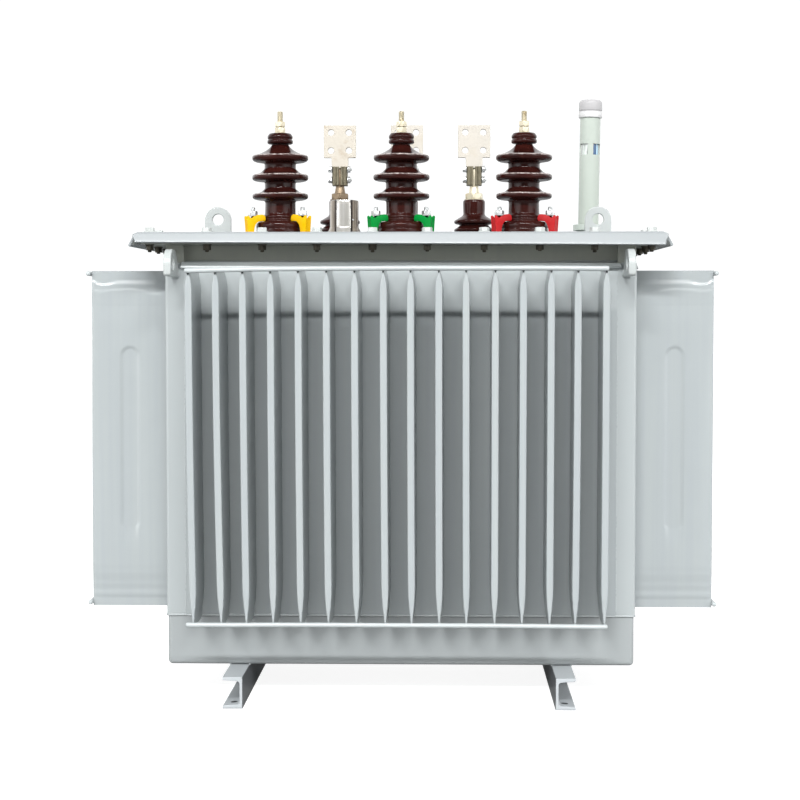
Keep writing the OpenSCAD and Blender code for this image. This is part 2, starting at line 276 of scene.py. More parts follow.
M = {}
M["paint"] = paint("light_grey_paint", (163, 169, 170), tint=0.02, peel=0.12, dirt=0.02, crease_shade=0.5)
M["fin"] = paint("light_grey_paint_fins", (156, 162, 163), rough=0.3, tint=0.02, peel=0.06, coat=0.2, streaks=0.4, crease_shade=0.4, extra=lit_valley_tops)
# painted light: the ledge gets a lighter copy of the tank paint, for the light it catches under the cover
M["ledge"] = paint("light_grey_paint_ledge_painted_light", (204, 210, 210), tint=0.02, peel=0.12)
M["tray"] = tray_paint()
M["shade"] = paint("shaded_inside", (84, 88, 86), rough=0.6, tint=0.1, coat=0.0)
M["rod"] = paint("light_grey_paint_rods", (172, 178, 179), rough=0.4, tint=0.02, peel=0.2, crease_shade=0.5)
M["painted_shadow"] = paint("painted_shadow_dark", (34, 38, 38), rough=0.6, tint=0.1, coat=0.0)
M["cover"] = paint("light_grey_paint_cover", (146, 151, 153), rough=0.38, tint=0.02, peel=0.15, coat=0.1, crease_shade=0.5)
M["eye"] = paint("light_grey_paint_eyes", (171, 176, 175), rough=0.36, tint=0.03, peel=0.3, crease_shade=0.4)
M["neck"] = paint("grey_green_paint_neck", (158, 161, 151), rough=0.45, tint=0.06, streaks=0.4)
M["flange"] = paint("grey_paint_flange", (128, 131, 124), rough=0.5, tint=0.12, dirt=0.2)
M["foot"] = paint("light_grey_paint_feet", (168, 173, 176), rough=0.45, tint=0.06, dirt=0.3, crease_shade=0.5, extra=web_painted_shade)
M["weld"] = paint("light_grey_paint_welds", (166, 172, 173), rough=0.36, peel=0.5, crease_shade=0.4)
M["porcelain"] = glaze("brown_porcelain", (34, 12, 10), (52, 21, 17))
M["porcelain_hv"] = glaze("brown_porcelain_sheds", (34, 12, 10), (52, 21, 17), ((-0.253, -0.140), (0.0, -0.140), (0.255, -0.140)))
M["yellow"] = paint("yellow_enamel", (214, 166, 0), rough=0.45, tint=0.04, coat=0.0, spec=0.05, crease_shade=0.4)
M["green"] = paint("green_enamel", (0, 126, 50), rough=0.45, tint=0.04, coat=0.0, spec=0.05, crease_shade=0.4)
M["red"] = paint("red_enamel", (166, 24, 28), rough=0.45, tint=0.04, coat=0.0, spec=0.15, crease_shade=0.4)
M["zinc"] = metal("zinc_plated_steel", (214, 216, 216), 0.32, metallic=0.8)
M["head"] = metal("plated_heads_on_cover", (186, 190, 188), 0.5, metallic=0.3)
# painted shade: the nuts under the cover get a much darker copy of the plating, for the shade they hang in
M["bolt"] = metal("plated_bolts_under_cover_painted_shade", (78, 74, 64), 0.42, var=0.4, stain=(40, 36, 30), metallic=0.6)
M["tin"] = metal("tinned_brass", (206, 198, 176), 0.42, stain=(190, 166, 120), scale=30.0, metallic=0.8)
M["palm"] = metal("tinned_palm", (188, 183, 174), 0.6, stain=(180, 172, 156), scale=24.0, metallic=0.2)
M["palm_stained"] = metal("tinned_palm_stained", (188, 182, 171), 0.6, stain=(150, 128, 98), scale=24.0, metallic=0.2)
M["bronze"] = metal("dull_bronze", (132, 116, 96), 0.45, stain=(88, 70, 54), metallic=0.85)
M["bronze_light"] = metal("tarnished_clamp", (118, 112, 94), 0.45, var=0.3, stain=(62, 56, 40), scale=50.0, metallic=0.7)
M["chrome"] = plated_hex()
M["rubber"] = paint("black_rubber", (26, 26, 26), rough=0.6, tint=0.2, coat=0.0)
M["gauge"] = paint("pale_green_enamel", (168, 176, 168), rough=0.4, tint=0.02, coat=0.0, spec=0.3, crease_shade=0.3)
M["gauge_base"] = paint("pale_green_enamel_base", (172, 181, 174), rough=0.4, tint=0.02, coat=0.0, spec=0.3, crease_shade=0.5)
M["cap"] = paint("off_white_moulding", (166, 165, 166), rough=0.45, tint=0.02, coat=0.0, spec=0.3, crease_shade=0.4, extra=white_band)


def gauge_glass():
    """Sight glass: pale column with the blue float on one side of its scale plate."""
    g = Graph("gauge_sight_glass")
    x = g.axis(0)
    side = g.remap(x, 0.4100, 0.4110, 0.0, 1.0)
    streak = g.noise(90.0, 3.0, 0.6, vec=g.scaled(1.0, 1.0, 0.2))
    left = g.mix(g.remap(streak, 0.4, 0.6, 0.0, 1.0), col(120, 128, 122), col(205, 212, 208))
    right = g.mix(g.remap(g.noise(40.0, 2.0), 0.3, 0.7, 0.0, 1.0), col(10, 62, 104), col(18, 76, 118))
    rim = g.remap(x, 0.4255, 0.4265, 0.0, 1.0)
    right = g.mix(rim, right, col(150, 190, 210))
    c = g.mix(side, left, right)
    return g.set(Base_Color=c, Roughness=g.remap(streak, 0.3, 0.7, 0.06, 0.14), Coat_Weight=0.6, Coat_Roughness=0.04)


M["gauge_glass"] = gauge_glass()

# ----------------------------------------------------------------------------
# mesh helpers (all sizes in millimetres)
# ----------------------------------------------------------------------------


def make(name, verts, faces, mat, slot, replaces=(), sharp=35.0, bevel=None, mats=None, flat=False, even=False):
    me = bpy.data.meshes.new(name)
    me.from_pydata([(x * MM, y * MM, z * MM) for x, y, z in verts], [], faces)
    me.validate()
    bm = bmesh.new()
    bm.from_mesh(me)
    bmesh.ops.remove_doubles(bm, verts=bm.verts, dist=1e-6)
    bmesh.ops.recalc_face_normals(bm, faces=bm.faces)
    if bevel:
        width, segs, ang = bevel
        edges = [e for e in bm.edges if len(e.link_faces) == 2 and e.calc_face_angle(0.0) > math.radians(ang)]
        bmesh.ops.bevel(bm, geom=edges, offset=width * MM, segments=segs, profile=0.5,
                        affect="EDGES", clamp_overlap=True)
    bm.to_mesh(me)
    bm.free()
    if not flat:
        me.polygons.foreach_set("use_smooth", [True] * len(me.polygons))
        me.set_sharp_from_angle(angle=math.radians(sharp))
    ob = bpy.data.objects.new(name, me)
    bpy.context.scene.collection.objects.link(ob)
    me.materials.append(M[mat] if isinstance(mat, str) else mat)
    for m in mats or ():
        me.materials.append(M[m])
    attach(ob, "root")
    if replaces:
        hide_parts(*replaces)
    if (bevel or even) and not flat:
        w = ob.modifiers.new("normals", "WEIGHTED_NORMAL")
        w.keep_sharp = True
    return ob


class Soup:
    """Collects many shapes in one mesh."""

    def __init__(self):
        self.v, self.f = [], []

    def add(self, verts, faces, fn=None):
        n = len(self.v)
        self.v += [fn(p) for p in verts] if fn else list(verts)
        self.f += [tuple(i + n for i in f) for f in faces]
        return self


def revolve(profile, segs=64, at=(0, 0, 0), cap=True):
    """Profile is (radius, height) from the bottom up, or closed if it starts and ends at radius 0."""
    vs, fs = [], []
    ring = []
    for r, z in profile:
        if r < 1e-6:
            ring.append([len(vs)])
            vs.append((at[0], at[1], at[2] + z))
        else:
            ring.append(list(range(len(vs), len(vs) + segs)))
            for i in range(segs):
                a = 2 * PI * i / segs
                vs.append((at[0] + r * math.cos(a), at[1] + r * math.sin(a), at[2] + z))
    for a, b in zip(ring, ring[1:]):
        for i in range(segs):
            j = (i + 1) % segs
            if len(a) == 1 and len(b) == 1:
                continue
            if len(a) == 1:
                fs.append((a[0], b[j], b[i]))
            elif len(b) == 1:
                fs.append((a[i], a[j], b[0]))
            else:
                fs.append((a[i], a[j], b[j], b[i]))
    return vs, fs


def fillet(pts, radii, seg=5):
    """Rounds the corners of a closed polygon."""
    out = []
    n = len(pts)
    for i, p in enumerate(pts):
        r = radii[i] if isinstance(radii, (list, tuple)) else radii
        if r <= 0:
            out.append(tuple(p))
            continue
        p0, p1, p2 = Vector(pts[i - 1]), Vector(p), Vector(pts[(i + 1) % n])
        a, b = (p0 - p1), (p2 - p1)
        la, lb = a.length, b.length
        a.normalize()
        b.normalize()
        ang = a.angle(b)
        if ang > PI - 0.02:
            out.append(tuple(p))
            continue
        t = min(r / math.tan(ang / 2), la * 0.49, lb * 0.49)
        rr = t * math.tan(ang / 2)
        c = p1 + (a + b).normalized() * (rr / math.sin(ang / 2))
        s, e = p1 + a * t - c, p1 + b * t - c
        a0, a1 = math.atan2(s.y, s.x), math.atan2(e.y, e.x)
        d = (a1 - a0 + PI) % (2 * PI) - PI
        for k in range(seg + 1):
            w = a0 + d * k / seg
            out.append((c.x + rr * math.cos(w), c.y + rr * math.sin(w)))
    return out


def circle(cx, cy, r, n=32, cw=False):
    pts = [(cx + r * math.cos(2 * PI * i / n), cy + r * math.sin(2 * PI * i / n)) for i in range(n)]
    return pts[::-1] if cw else pts


def area2(p):
    return sum(p[i - 1][0] * p[i][1] - p[i][0] * p[i - 1][1] for i in range(len(p)))


def inset(loop, d):
    """Moves each point of a counter-clockwise loop inwards by d."""
    n = len(loop)
    out = []
    for i in range(n):
        p0, p1, p2 = Vector(loop[i - 1]), Vector(loop[i]), Vector(loop[(i + 1) % n])
        e0, e1 = p1 - p0, p2 - p1
        if e0.length < 1e-9 or e1.length < 1e-9:
            out.append(tuple(p1))
            continue
        e0.normalize()
        e1.normalize()
        n0, n1 = Vector((-e0.y, e0.x)), Vector((-e1.y, e1.x))
        m = n0 + n1
        if m.length < 1e-6:
            m = n0
        m.normalize()
        k = max(0.5, m.dot(n0))
        q = p1 + m * (d / k)
        out.append((q.x, q.y))
    return out


def plate(outer, holes, t, c=0.8, segs=2, place=None):
    """A plate in the plane (u, v) from w = 0 to w = t, with holes and edges rounded by c."""
    if area2(outer) < 0:
        outer = outer[::-1]
    loops = [(outer, 1)]
    for h in holes:
        loops.append((h if area2(h) > 0 else h[::-1], -1))
    vs, fs = [], []
    tops, bots = [], []
    for lp, sign in loops:
        steps = []
        for k in range(segs + 1):
            a = (PI / 2) * k / segs
            steps.append((c * (1 - math.sin(a)), c * (1 - math.cos(a))))
        rings = []
        for off, w in steps:
            rings.append((inset(lp, sign * off), w))
        full = [(q, w) for q, w in rings] + [(q, t - w) for q, w in rings[::-1]]
        idx = []
        for q, w in full:
            idx.append(list(range(len(vs), len(vs) + len(q))))
            vs += [(u, v, w) for u, v in q]
        n = len(lp)
        for a, b in zip(idx, idx[1:]):
            for i in range(n):
                j = (i + 1) % n
                f = (a[i], a[j], b[j], b[i])
                fs.append(f if sign > 0 else f[::-1])
        bots.append(idx[0])
        tops.append(idx[-1])
    for group, flip in ((tops, False), (bots, True)):
        polys = []
        flat = []
        for (lp, sign), idx in zip(loops, group):
            ids = idx if sign > 0 else idx[::-1]
            polys.append([Vector((vs[i][0], vs[i][1], 0.0)) for i in ids])
            flat += ids
        for tri in tessellate_polygon(polys):
            f = tuple(flat[i] for i in tri)
            a, b, cc = (vs[i] for i in f)
            if (b[0] - a[0]) * (cc[1] - a[1]) - (cc[0] - a[0]) * (b[1] - a[1]) < 0:
                f = f[::-1]
            fs.append(f[::-1] if flip else f)
    if place:
        vs = [place(p) for p in vs]
    return vs, fs


def slab(a, b):
    (x0, y0, z0), (x1, y1, z1) = a, b
    vs = [(x0, y0, z0), (x1, y0, z0), (x1, y1, z0), (x0, y1, z0),
          (x0, y0, z1), (x1, y0, z1), (x1, y1, z1), (x0, y1, z1)]
    fs = [(0, 3, 2, 1), (4, 5, 6, 7), (0, 1, 5, 4), (1, 2, 6, 5), (2, 3, 7, 6), (3, 0, 4, 7)]
    return vs, fs


def sweep(path, radius, sides=8, ripple=0.0, ripple_len=6.0, seed=0, squash=1.0, ends=True, closed=False):
    """A tube along a polyline; ripple makes it a weld bead."""
    pts = [Vector(p) for p in path]
    n = len(pts)
    vs, fs = [], []
    up0 = Vector((0, 0, 1))
    s = 0.0
    rings = []
    for i, p in enumerate(pts):
        if closed:
            d = pts[(i + 1) % n] - pts[i - 1]
        else:
            d = pts[min(i + 1, n - 1)] - pts[max(i - 1, 0)]
        d.normalize()
        up = up0 if abs(d.dot(up0)) < 0.9 else Vector((1, 0, 0))
        side = d.cross(up).normalized()
        up = side.cross(d).normalized()
        if i:
            s += (pts[i] - pts[i - 1]).length
        r = radius
        if ripple:
            r *= 1 + ripple * (0.45 * math.sin(2 * PI * s / ripple_len)
                               + 1.1 * noise.noise(Vector((s * 0.13, seed * 7.3, 0.0)))
                               + 0.6 * noise.noise(Vector((s * 0.035, seed * 3.1, 5.0))))
        if ends and not closed and i in (0, n - 1):
            r *= 0.35
        ring = []
        for k in range(sides):
            a = 2 * PI * (k + 0.5) / sides
            q = p + side * (r * math.cos(a)) + up * (r * squash * math.sin(a))
            ring.append(len(vs))
            vs.append(tuple(q))
        rings.append(ring)
    m = len(rings)
    for i in range(m if closed else m - 1):
        a, b = rings[i], rings[(i + 1) % m]
        for k in range(sides):
            j = (k + 1) % sides
            fs.append((a[k], a[j], b[j], b[k]))
    if not closed:
        fs.append(tuple(rings[0][::-1]))
        fs.append(tuple(rings[-1]))
    return vs, fs


def line(a, b, step):
    a, b = Vector(a), Vector(b)
    n = max(1, int(round((b - a).length / step)))
    return [tuple(a.lerp(b, i / n)) for i in range(n + 1)]


def hex_nut(af, h, at=(0, 0, 0), turn=0.0, chamfer=0.9, both=True, bore=0.0):
    """Hexagon with chamfered corners, standing on w = 0."""
    r = af / 2 / math.cos(PI / 6)
    n = 48
    vs, fs = [], []

    def ring(rmax, z):
        out = []
        for i in range(n):
            a = 2 * PI * i / n
            k = (a % (PI / 3)) - PI / 6
            rr = min((af / 2) / math.cos(k), rmax)
            out.append(len(vs))
            vs.append((at[0] + rr * math.cos(a + turn), at[1] + rr * math.sin(a + turn), at[2] + z))
        return out
    rings = []
    c = chamfer
    rc = af / 2 * 0.97
    if both:
        rings += [ring(rc, 0), ring(r - (r - rc) * 0.45, c * 0.5), ring(r, c * 1.25)]
    else:
        rings += [ring(r, 0)]
    rings += [ring(r, h - c * 1.25), ring(r - (r - rc) * 0.45, h - c * 0.5), ring(rc, h)]
    for a, b in zip(rings, rings[1:]):
        for i in range(n):
            j = (i + 1) % n
            fs.append((a[i], a[j], b[j], b[i]))
    fs.append(tuple(rings[0][::-1]))
    fs.append(tuple(rings[-1]))
    return vs, fs


def thread(r, z0, z1, pitch, at=(0, 0, 0), segs=24, depth=None, tip=True):
    """A threaded rod drawn as a true helix-like surface."""
    d = depth or pitch * 0.45
    n = max(8, int((z1 - z0) / pitch * 6))
    vs, fs = [], []
    rings = []
    for i in range(n + 1):
        z = z0 + (z1 - z0) * i / n
        ring = []
        for k in range(segs):
            a = 2 * PI * k / segs
            ph = ((z - z0) / pitch + k / segs) % 1.0
            rr = r - d * (1 - abs(2 * ph - 1))
            if tip and z > z1 - 1.6:
                rr = min(rr, r - (z - (z1 - 1.6)) * 0.9)
            if z < z0 + 0.01:
                rr = r - d
            ring.append(len(vs))
            vs.append((at[0] + rr * math.cos(a), at[1] + rr * math.sin(a), at[2] + z))
        rings.append(ring)
    for a, b in zip(rings, rings[1:]):
        for i in range(segs):
            j = (i + 1) % segs
            fs.append((a[i], a[j], b[j], b[i]))
    fs.append(tuple(rings[0][::-1]))
    fs.append(tuple(rings[-1]))
    return vs, fs


def smoothstep(t):
    t = max(0.0, min(1.0, t))
    return t * t * (3 - 2 * t)


def interp(x, knots):
    if x <= knots[0][0]:
        return knots[0][1]
    for (x0, y0), (x1, y1) in zip(knots, knots[1:]):
        if x <= x1:
            return y0 + (y1 - y0) * smoothstep((x - x0) / (x1 - x0))
    return knots[-1][1]


# ----------------------------------------------------------------------------
# main sizes, in millimetres
# ----------------------------------------------------------------------------
HW, HD = 480.0, 240.0
SEAM, WALL = 166.0, 877.0
COV = 947.0
CORNER = 39.0
PITCH = 55.0

# ----------------------------------------------------------------------------
# folded, ribbed walls
# ----------------------------------------------------------------------------


def folded_wall(name, node, count, half, depth, levels, bz, dvals, place, emboss=None, lean=None, seed=0, mat="fin", round_tip=2.4):
    rf = 1.6
    vs, fs = [], []
    rows = []
    tip_n = 4
    for z in levels:
        row = []
        b = bz(z)
        row.append((-half, 0.0, z))
        for i in range(count):
            u0 = (i - (count - 1) / 2) * PITCH
            root, tip = lean(i, z) if lean else (0.0, 0.0)
            one = []
            for k in range(4):
                a = (PI / 2) * k / 3
                one.append((b + rf - rf * math.sin(a), rf - rf * math.cos(a)))
            for d in dvals:
                one.append((b, d))
            rc = min(b * 0.6, round_tip)
            for k in range(tip_n + 1):
                a = (PI / 2) * k / tip_n
                one.append((b - rc + rc * math.cos(a), depth - rc + rc * math.sin(a)))
            left = []
            right = []
            for (bu, d) in one:
                e = 0.0
                if emboss:
                    e = emboss(d, z)
                w = 0.0
                if rf + 1 < d < depth - 4:
                    w = 0.05 * noise.noise(Vector((d * 0.021, z * 0.0065, i * 3.7 + seed))) * min(1.0, (b - 1.4) / 3)
                w2 = 0.0
                if rf + 1 < d < depth - 4:
                    w2 = 0.05 * noise.noise(Vector((d * 0.021, z * 0.0065, i * 3.7 + seed + 50))) * min(1.0, (b - 1.4) / 3)
                uc = u0 + root + (tip - root) * max(0.0, (d - rf) / (depth - rf))
                left.append((uc - max(0.8, bu - e + w), d, z))
                right.append((uc + max(0.8, bu - e + w2), d, z))
            row += left + right[::-1]
            if i < count - 1:
                um = (i + 1 - (count - 1) / 2) * PITCH - PITCH / 2
                lz = root
                for q in (-10, 0, 10):
                    wv = 0.3 * noise.noise(Vector((q * 0.05 + i * 9.1, z * 0.006, seed + 9)))
                    row.append((um + q + lz, max(0.0, 0.3 + wv), z))
        row.append((half, 0.0, z))
        rows.append(row)
    n = len(rows[0])
    for r_, z in zip(rows, levels):
        for (u, d, zz) in r_:
            # the flat between the fins keeps to the tank wall's own height
            z2 = zz
            if d < 14:
                k = 1 - smoothstep(d / 14)
                zc = min(max(zz, SEAM + 1), WALL - 1)
                z2 = zz + (zc - zz) * k
            vs.append((u, d, z2))
    m = len(rows)
    for i in range(m - 1):
        for j in range(n - 1):
            a = i * n + j
            fs.append((a, a + 1, a + n + 1, a + n))
    per = 2 * (4 + len(dvals) + tip_n + 1)
    start = 1
    for i in range(count):
        for lev, flip in ((0, True), (m - 1, False)):
            base = lev * n + start
            for j in range(per // 2 - 1):
                a, b2 = base + j, base + j + 1
                c, d2 = base + per - 2 - j, base + per - 1 - j
                f = (a, b2, c, d2)
                fs.append(f[::-1] if flip else f)
        start += per + (3 if i < count - 1 else 0)
    # a back sheet closes the folded wall
    nb = len(vs)
    for (u, z) in ((-half, SEAM + 1), (half, SEAM + 1), (half, WALL - 1), (-half, WALL - 1)):
        vs.append((u, -3.0, z))
    fs.append((nb, nb + 1, nb + 2, nb + 3))
    return make(name, [place(p) for p in vs], fs, mat, "fin_paint", replaces=(node,), sharp=50)


FRONT_B = [(162, 1.6), (174, 1.8), (184, 2.6), (206, 5.2), (228, 6.6), (250, 7.0),
           (830, 7.0), (838, 6.7), (845, 5.9), (852, 4.6), (860, 3.0), (866, 1.9), (871, 1.5)]
SIDE_B = [(173, 1.6), (191, 1.6), (195, 2.8), (200, 3.2), (206, 2.7), (222, 4.2), (246, 6.2), (262, 6.8),
          (799.9, 6.8), (800.1, 1.6), (873, 1.6)]


def levels_from(z0, z1, fine):
    zs = {z0, z1}
    z = z0
    while z < z1:
        zs.add(round(z, 2))
        step = 24.0
        for a, b, st in fine:
            if a <= z < b:
                step = min(step, st)
        z += step
    return sorted(zs)


front_levels = levels_from(162.0, 871.0, [(162, 250, 4.0), (826, 871, 2.5)])
side_levels = levels_from(173.0, 873.0, [(173, 264, 3.0), (800, 818, 4.0), (818, 860, 1.4), (860, 873, 4.0), (320, 356, 2.5), (690, 727, 2.5)])
side_levels = [z for z in side_levels if not 797 < z < 800.6] + [800.1]
side_levels.sort()
front_d = [8, 20, 40, 60, 80, 100, 112, 122]
side_d = [6, 12, 20, 29, 38, 47, 54, 58] + [61.0 + 2.5 * k for k in range(20)] + [112, 116, 121, 127, 133, 139, 145, 151, 156, 160]


# how far each front blade stands out of true at its top and at its foot: no two were welded quite alike
AT_TOP = (-2, -3.5, -5, -5, -5.5, -5, -4.5, -3, -4.5, -4, -5.5, -3, -3, -3.5, -6, -5.5)
AT_FOOT = (5.5, 6, 1, -1, -1.5, -1.5, -1, 1, -2, -2.5, -4, -3.5, -4.5, -5, -9.5, -7)


def lean_front(i, z):
    t = (871 - z) / 709.0
    tip = AT_TOP[i] + (AT_FOOT[i] - AT_TOP[i]) * t * t
    return 0.6 * tip, tip



def bead(d, z):
    """Pressed, round-ended pocket in each side blade: depth of the pressing at this point."""
    cx, r = 86.0, 22.0
    z0, z1 = 327.0 + r, 719.0 - r
    zz = min(max(z, z0), z1)
    q = math.hypot(d - cx, z - zz)
    pocket = 3.0 * (1 - smoothstep((q - (r - 9)) / 9.0))
    if z < 800:
        return pocket
    # the blade thickens in two steps below its flat top edge; both steps wander across the blade
    a0, a1 = interp(d, RIDGE_A0), interp(d, RIDGE_A1)
    b0, b1 = interp(d, RIDGE_B0), interp(d, RIDGE_B1)
    one = max(0.0, min(1.0, (a0 - z) / (a0 - a1)))
    two = smoothstep((b0 - z) / (b0 - b1))
    return pocket - 2.0 * (0.75 * one + 0.25 * smoothstep(one)) - 1.0 * two


RIDGE_A0 = [(0, 854), (12, 853.5), (30, 855), (60, 855), (112, 855), (122, 852), (134, 848.5), (146, 846.5), (155, 849), (160, 852), (166, 854)]
RIDGE_A1 = [(0, 847), (12, 845), (30, 844), (60, 844), (100, 845), (112, 844.5), (122, 843.5), (134, 842.5), (146, 842.5), (155, 845), (160, 849), (166, 852)]
RIDGE_B0 = [(0, 838), (10, 835), (25, 829), (40, 831), (60, 836), (85, 839), (120, 838), (150, 836), (160, 838), (166, 842)]
RIDGE_B1 = [(0, 831), (10, 827), (25, 821), (40, 823), (60, 829), (85, 832), (120, 830), (150, 826), (160, 830), (166, 836)]

folded_wall("fins_front", "fin_wall_front", 16, HW - CORNER, 130, front_levels,
            lambda z: interp(z, FRONT_B), front_d, lambda p: (p[0], -HD - p[1], p[2]), lean=lean_front, seed=1)
folded_wall("fins_back", "fin_wall_back", 16, HW - CORNER, 130, front_levels,
            lambda z: interp(z, FRONT_B), front_d, lambda p: (-p[0], HD + p[1], p[2]), seed=2)
folded_wall("fins_left", "fin_wall_left", 7, HD - CORNER, 166, side_levels,
            lambda z: interp(z, SIDE_B), side_d, lambda p: (-HW - p[1] * (1 - 0.012 * smoothstep((p[2] - 400) / 450)), -p[0], p[2]), emboss=bead, seed=3,
            round_tip=3.4)
folded_wall("fins_right", "fin_wall_right", 7, HD - CORNER, 166, side_levels,
            lambda z: interp(z, SIDE_B), side_d, lambda p: (HW + p[1], p[0], p[2]), emboss=bead, seed=4, round_tip=3.4)

# painted shadow: small dark wedges under the top rod at each blade tip, where the rod shades the tip
for fb, sy in (("front", -1), ("back", 1)):
    rod_shadow_marks = Soup()
    for i in range(16):
        root, tip = lean_front(i, 862.0) if sy < 0 else (0.0, 0.0)
        u = (i - 7.5) * PITCH + tip
        z = interp(u, [(-421, 867.6), (-330, 869.0), (-275, 870.3), (-154, 871.6), (52, 872.2), (277, 872.2), (411, 871.2)]) - 4.2
        tri = [(u - 2.6, z), (u - 0.5, z - 5.0), (u + 0.5, z - 5.0), (u + 2.6, z)]
        vs, fs = [], []
        for y in (368.0, 370.6):
            vs += [(q[0] if sy < 0 else -q[0], sy * y, q[1]) for q in tri]
        fs = [(3, 2, 1, 0), (4, 5, 6, 7), (0, 1, 5, 4), (1, 2, 6, 5), (2, 3, 7, 6), (3, 0, 4, 7)]
        rod_shadow_marks.add(vs, fs)
    make("blade_tip_rod_shadows_" + fb, rod_shadow_marks.v, rod_shadow_marks.f, "painted_shadow", "fin_paint", flat=True)

# ----------------------------------------------------------------------------
# rods across the fin tips, with a weld spot at each tip
# ----------------------------------------------------------------------------


def rods(name, node, u0, u1, zs, off, place, tips, seed):
    s = Soup()
    for knots in zs:
        z = knots[0][1]
        pts = []
        n = int((u1 - u0) / 12)
        for i in range(n + 1):
            u = u0 + (u1 - u0) * i / n
            pts.append((u, 0.35 * noise.noise(Vector((u * 0.01, z, seed))), interp(u, knots) + 0.3 * noise.noise(Vector((u * 0.008, seed, z)))))
        # rounded ends
        za, zb = pts[0][2], pts[-1][2]
        pts = [(u0 - 0.2, 0, za), (u0 + 0.8, 0, za), (u0 + 2.5, 0, za)] + pts[1:-1] + [(u1 - 2.5, 0, zb), (u1 - 0.8, 0, zb), (u1 + 0.2, 0, zb)]
        vs, fs = sweep(pts, 4.8, sides=16, ends=False)
        k = 16
        for idx, sc in ((0, 0.45), (1, 0.85), (len(pts) - 2, 0.85), (len(pts) - 1, 0.45)):
            c = Vector(pts[idx])
            for j in range(idx * k, idx * k + k):
                v = Vector(vs[j])
                vs[j] = tuple(c + (v - c) * sc)
        s.add(vs, fs)
        for t in tips:
            if u0 < t < u1:
                z = interp(t, knots)
                for sd in (-1, 1):
                    a = sweep([(t + sd * 1.2, -3.4, z - 3.6), (t + sd * 2.4, -3.0, z), (t + sd * 1.2, -3.4, z + 3.6)], 2.0,
                              sides=8, ends=True)
                    s.add(*a)
    return make(name, [place((u, d + off, z)) for u, d, z in s.v], s.f, "rod", "fin_paint", replaces=(node,), sharp=50)


tips16 = [(i - 7.5) * PITCH for i in range(16)]
tips7 = [(i - 3) * PITCH for i in range(7)]
low_rod = [(-421, 167.7), (-150, 168.5), (150, 168.3), (411, 167.2)]
top_rod = [(-421, 867.6), (-330, 869.0), (-275, 870.3), (-154, 871.6), (52, 872.2), (277, 872.2), (411, 871.2)]
tips_a = [tips16[i] + AT_FOOT[i] * 0.9 for i in range(16)]
rods("rods_front", "fin_rods_front", -421, 411, (low_rod, top_rod), 133.9, lambda p: (p[0], -HD - p[1], p[2]), tips_a, 1)
rods("rods_back", "fin_rods_back", -421, 411, (low_rod, top_rod), 133.9, lambda p: (-p[0], HD + p[1], p[2]), tips16, 2)
rods("rods_left", "fin_rods_left", -180, 180, ([(-180, SEAM + 15), (180, SEAM + 15)], [(-180, 867.5), (180, 867.5)]), 170.0, lambda p: (-HW - p[1], -p[0], p[2]), tips7, 3)
rods("rods_right", "fin_rods_right", -180, 180, ([(-180, SEAM + 15), (180, SEAM + 15)], [(-180, 867.5), (180, 867.5)]), 170.0, lambda p: (HW + p[1], p[0], p[2]), tips7, 4)

# ----------------------------------------------------------------------------
# tank: corner plates, ledge, neck, bottom tray
# ----------------------------------------------------------------------------


def rounded_box(x, y, z0, z1, rv, rb=0.0, rt=0.0, seg=5):
    """Box with rounded upright edges, and rounded bottom and top edges."""
    rect = [(-x, -y), (x, -y), (x, y), (-x, y)]
    rings = []
    if rb:
        for k in range(seg + 1):
            a = (PI / 2) * k / seg
            rings.append((rb * (1 - math.sin(a)), z0 + rb * (1 - math.cos(a))))
    else:
        rings.append((0, z0))
    if rt:
        for k in range(seg + 1):
            a = (PI / 2) * k / seg
            rings.append((rt * (1 - math.cos(a)), z1 - rt * (1 - math.sin(a))))
    else:
        rings.append((0, z1))
    vs, fs = [], []
    idx = []
    base = fillet(rect, rv, 6)
    for off, z in rings:
        q = inset(base, off)
        idx.append(list(range(len(vs), len(vs) + len(q))))
        vs += [(u, v, z) for u, v in q]
    n = len(base)
    for a, b in zip(idx, idx[1:]):
        for i in range(n):
            j = (i + 1) % n
            fs.append((a[i], a[j], b[j], b[i]))
    fs.append(tuple(idx[0][::-1]))
    fs.append(tuple(idx[-1]))
    return vs, fs


make("base_tray_shell", *rounded_box(478, 238, 63, 166, 9, rb=9, rt=1.5), "tray", "tank_paint",
     replaces=("base_tray",), sharp=40)

tank = Soup()
cw = CORNER
for sx in (-1, 1):
    for sy in (-1, 1):
        # L-shaped corner plate with a rounded outer edge
        L = [(HW, HD), (HW - cw, HD), (HW - cw, HD - 4), (HW - 4, HD - 4), (HW - 4, HD - cw), (HW, HD - cw)]
        L = fillet(L, [6, 0.6, 0.6, 2, 0.6, 0.6], 5)
        L = [(sx * a, sy * b) for a, b in L]
        vs, fs = plate(L, [], WALL + 9 - SEAM - 1, c=0.7, place=lambda p: (p[0], p[1], SEAM + 1 + p[2]))
        tank.add(vs, fs)
tank.add(*slab((-HW + 4, -HD + 4, SEAM), (HW - 4, HD - 4, WALL - 1)))
make("tank_corner_plates", tank.v, tank.f, "paint", "tank_paint", replaces=("tank_body",), sharp=40, even=True)

ledge = Soup()
ring_outer = [(-449, -246), (449, -246), (449, -209), (486, -209), (486, 209), (449, 209),
              (449, 246), (-449, 246), (-449, 209), (-486, 209), (-486, -209), (-449, -209)]
hole = [(-430, -200), (430, -200), (430, 200), (-430, 200)]
vs, fs = plate(fillet(ring_outer, 2.0, 3), [hole], 13.0, c=2.2, segs=3,
               place=lambda p: (p[0] * (1 - 0.0006 * p[2]), p[1] * (1 - 0.0013 * p[2]),
                                WALL - 0.2 + p[2] * (1 - 0.22 * smoothstep((p[0] + 240) / 180))))
ledge.add(vs, fs)
make("tank_ledge", ledge.v, ledge.f, "ledge", "tank_paint", sharp=60, even=True)
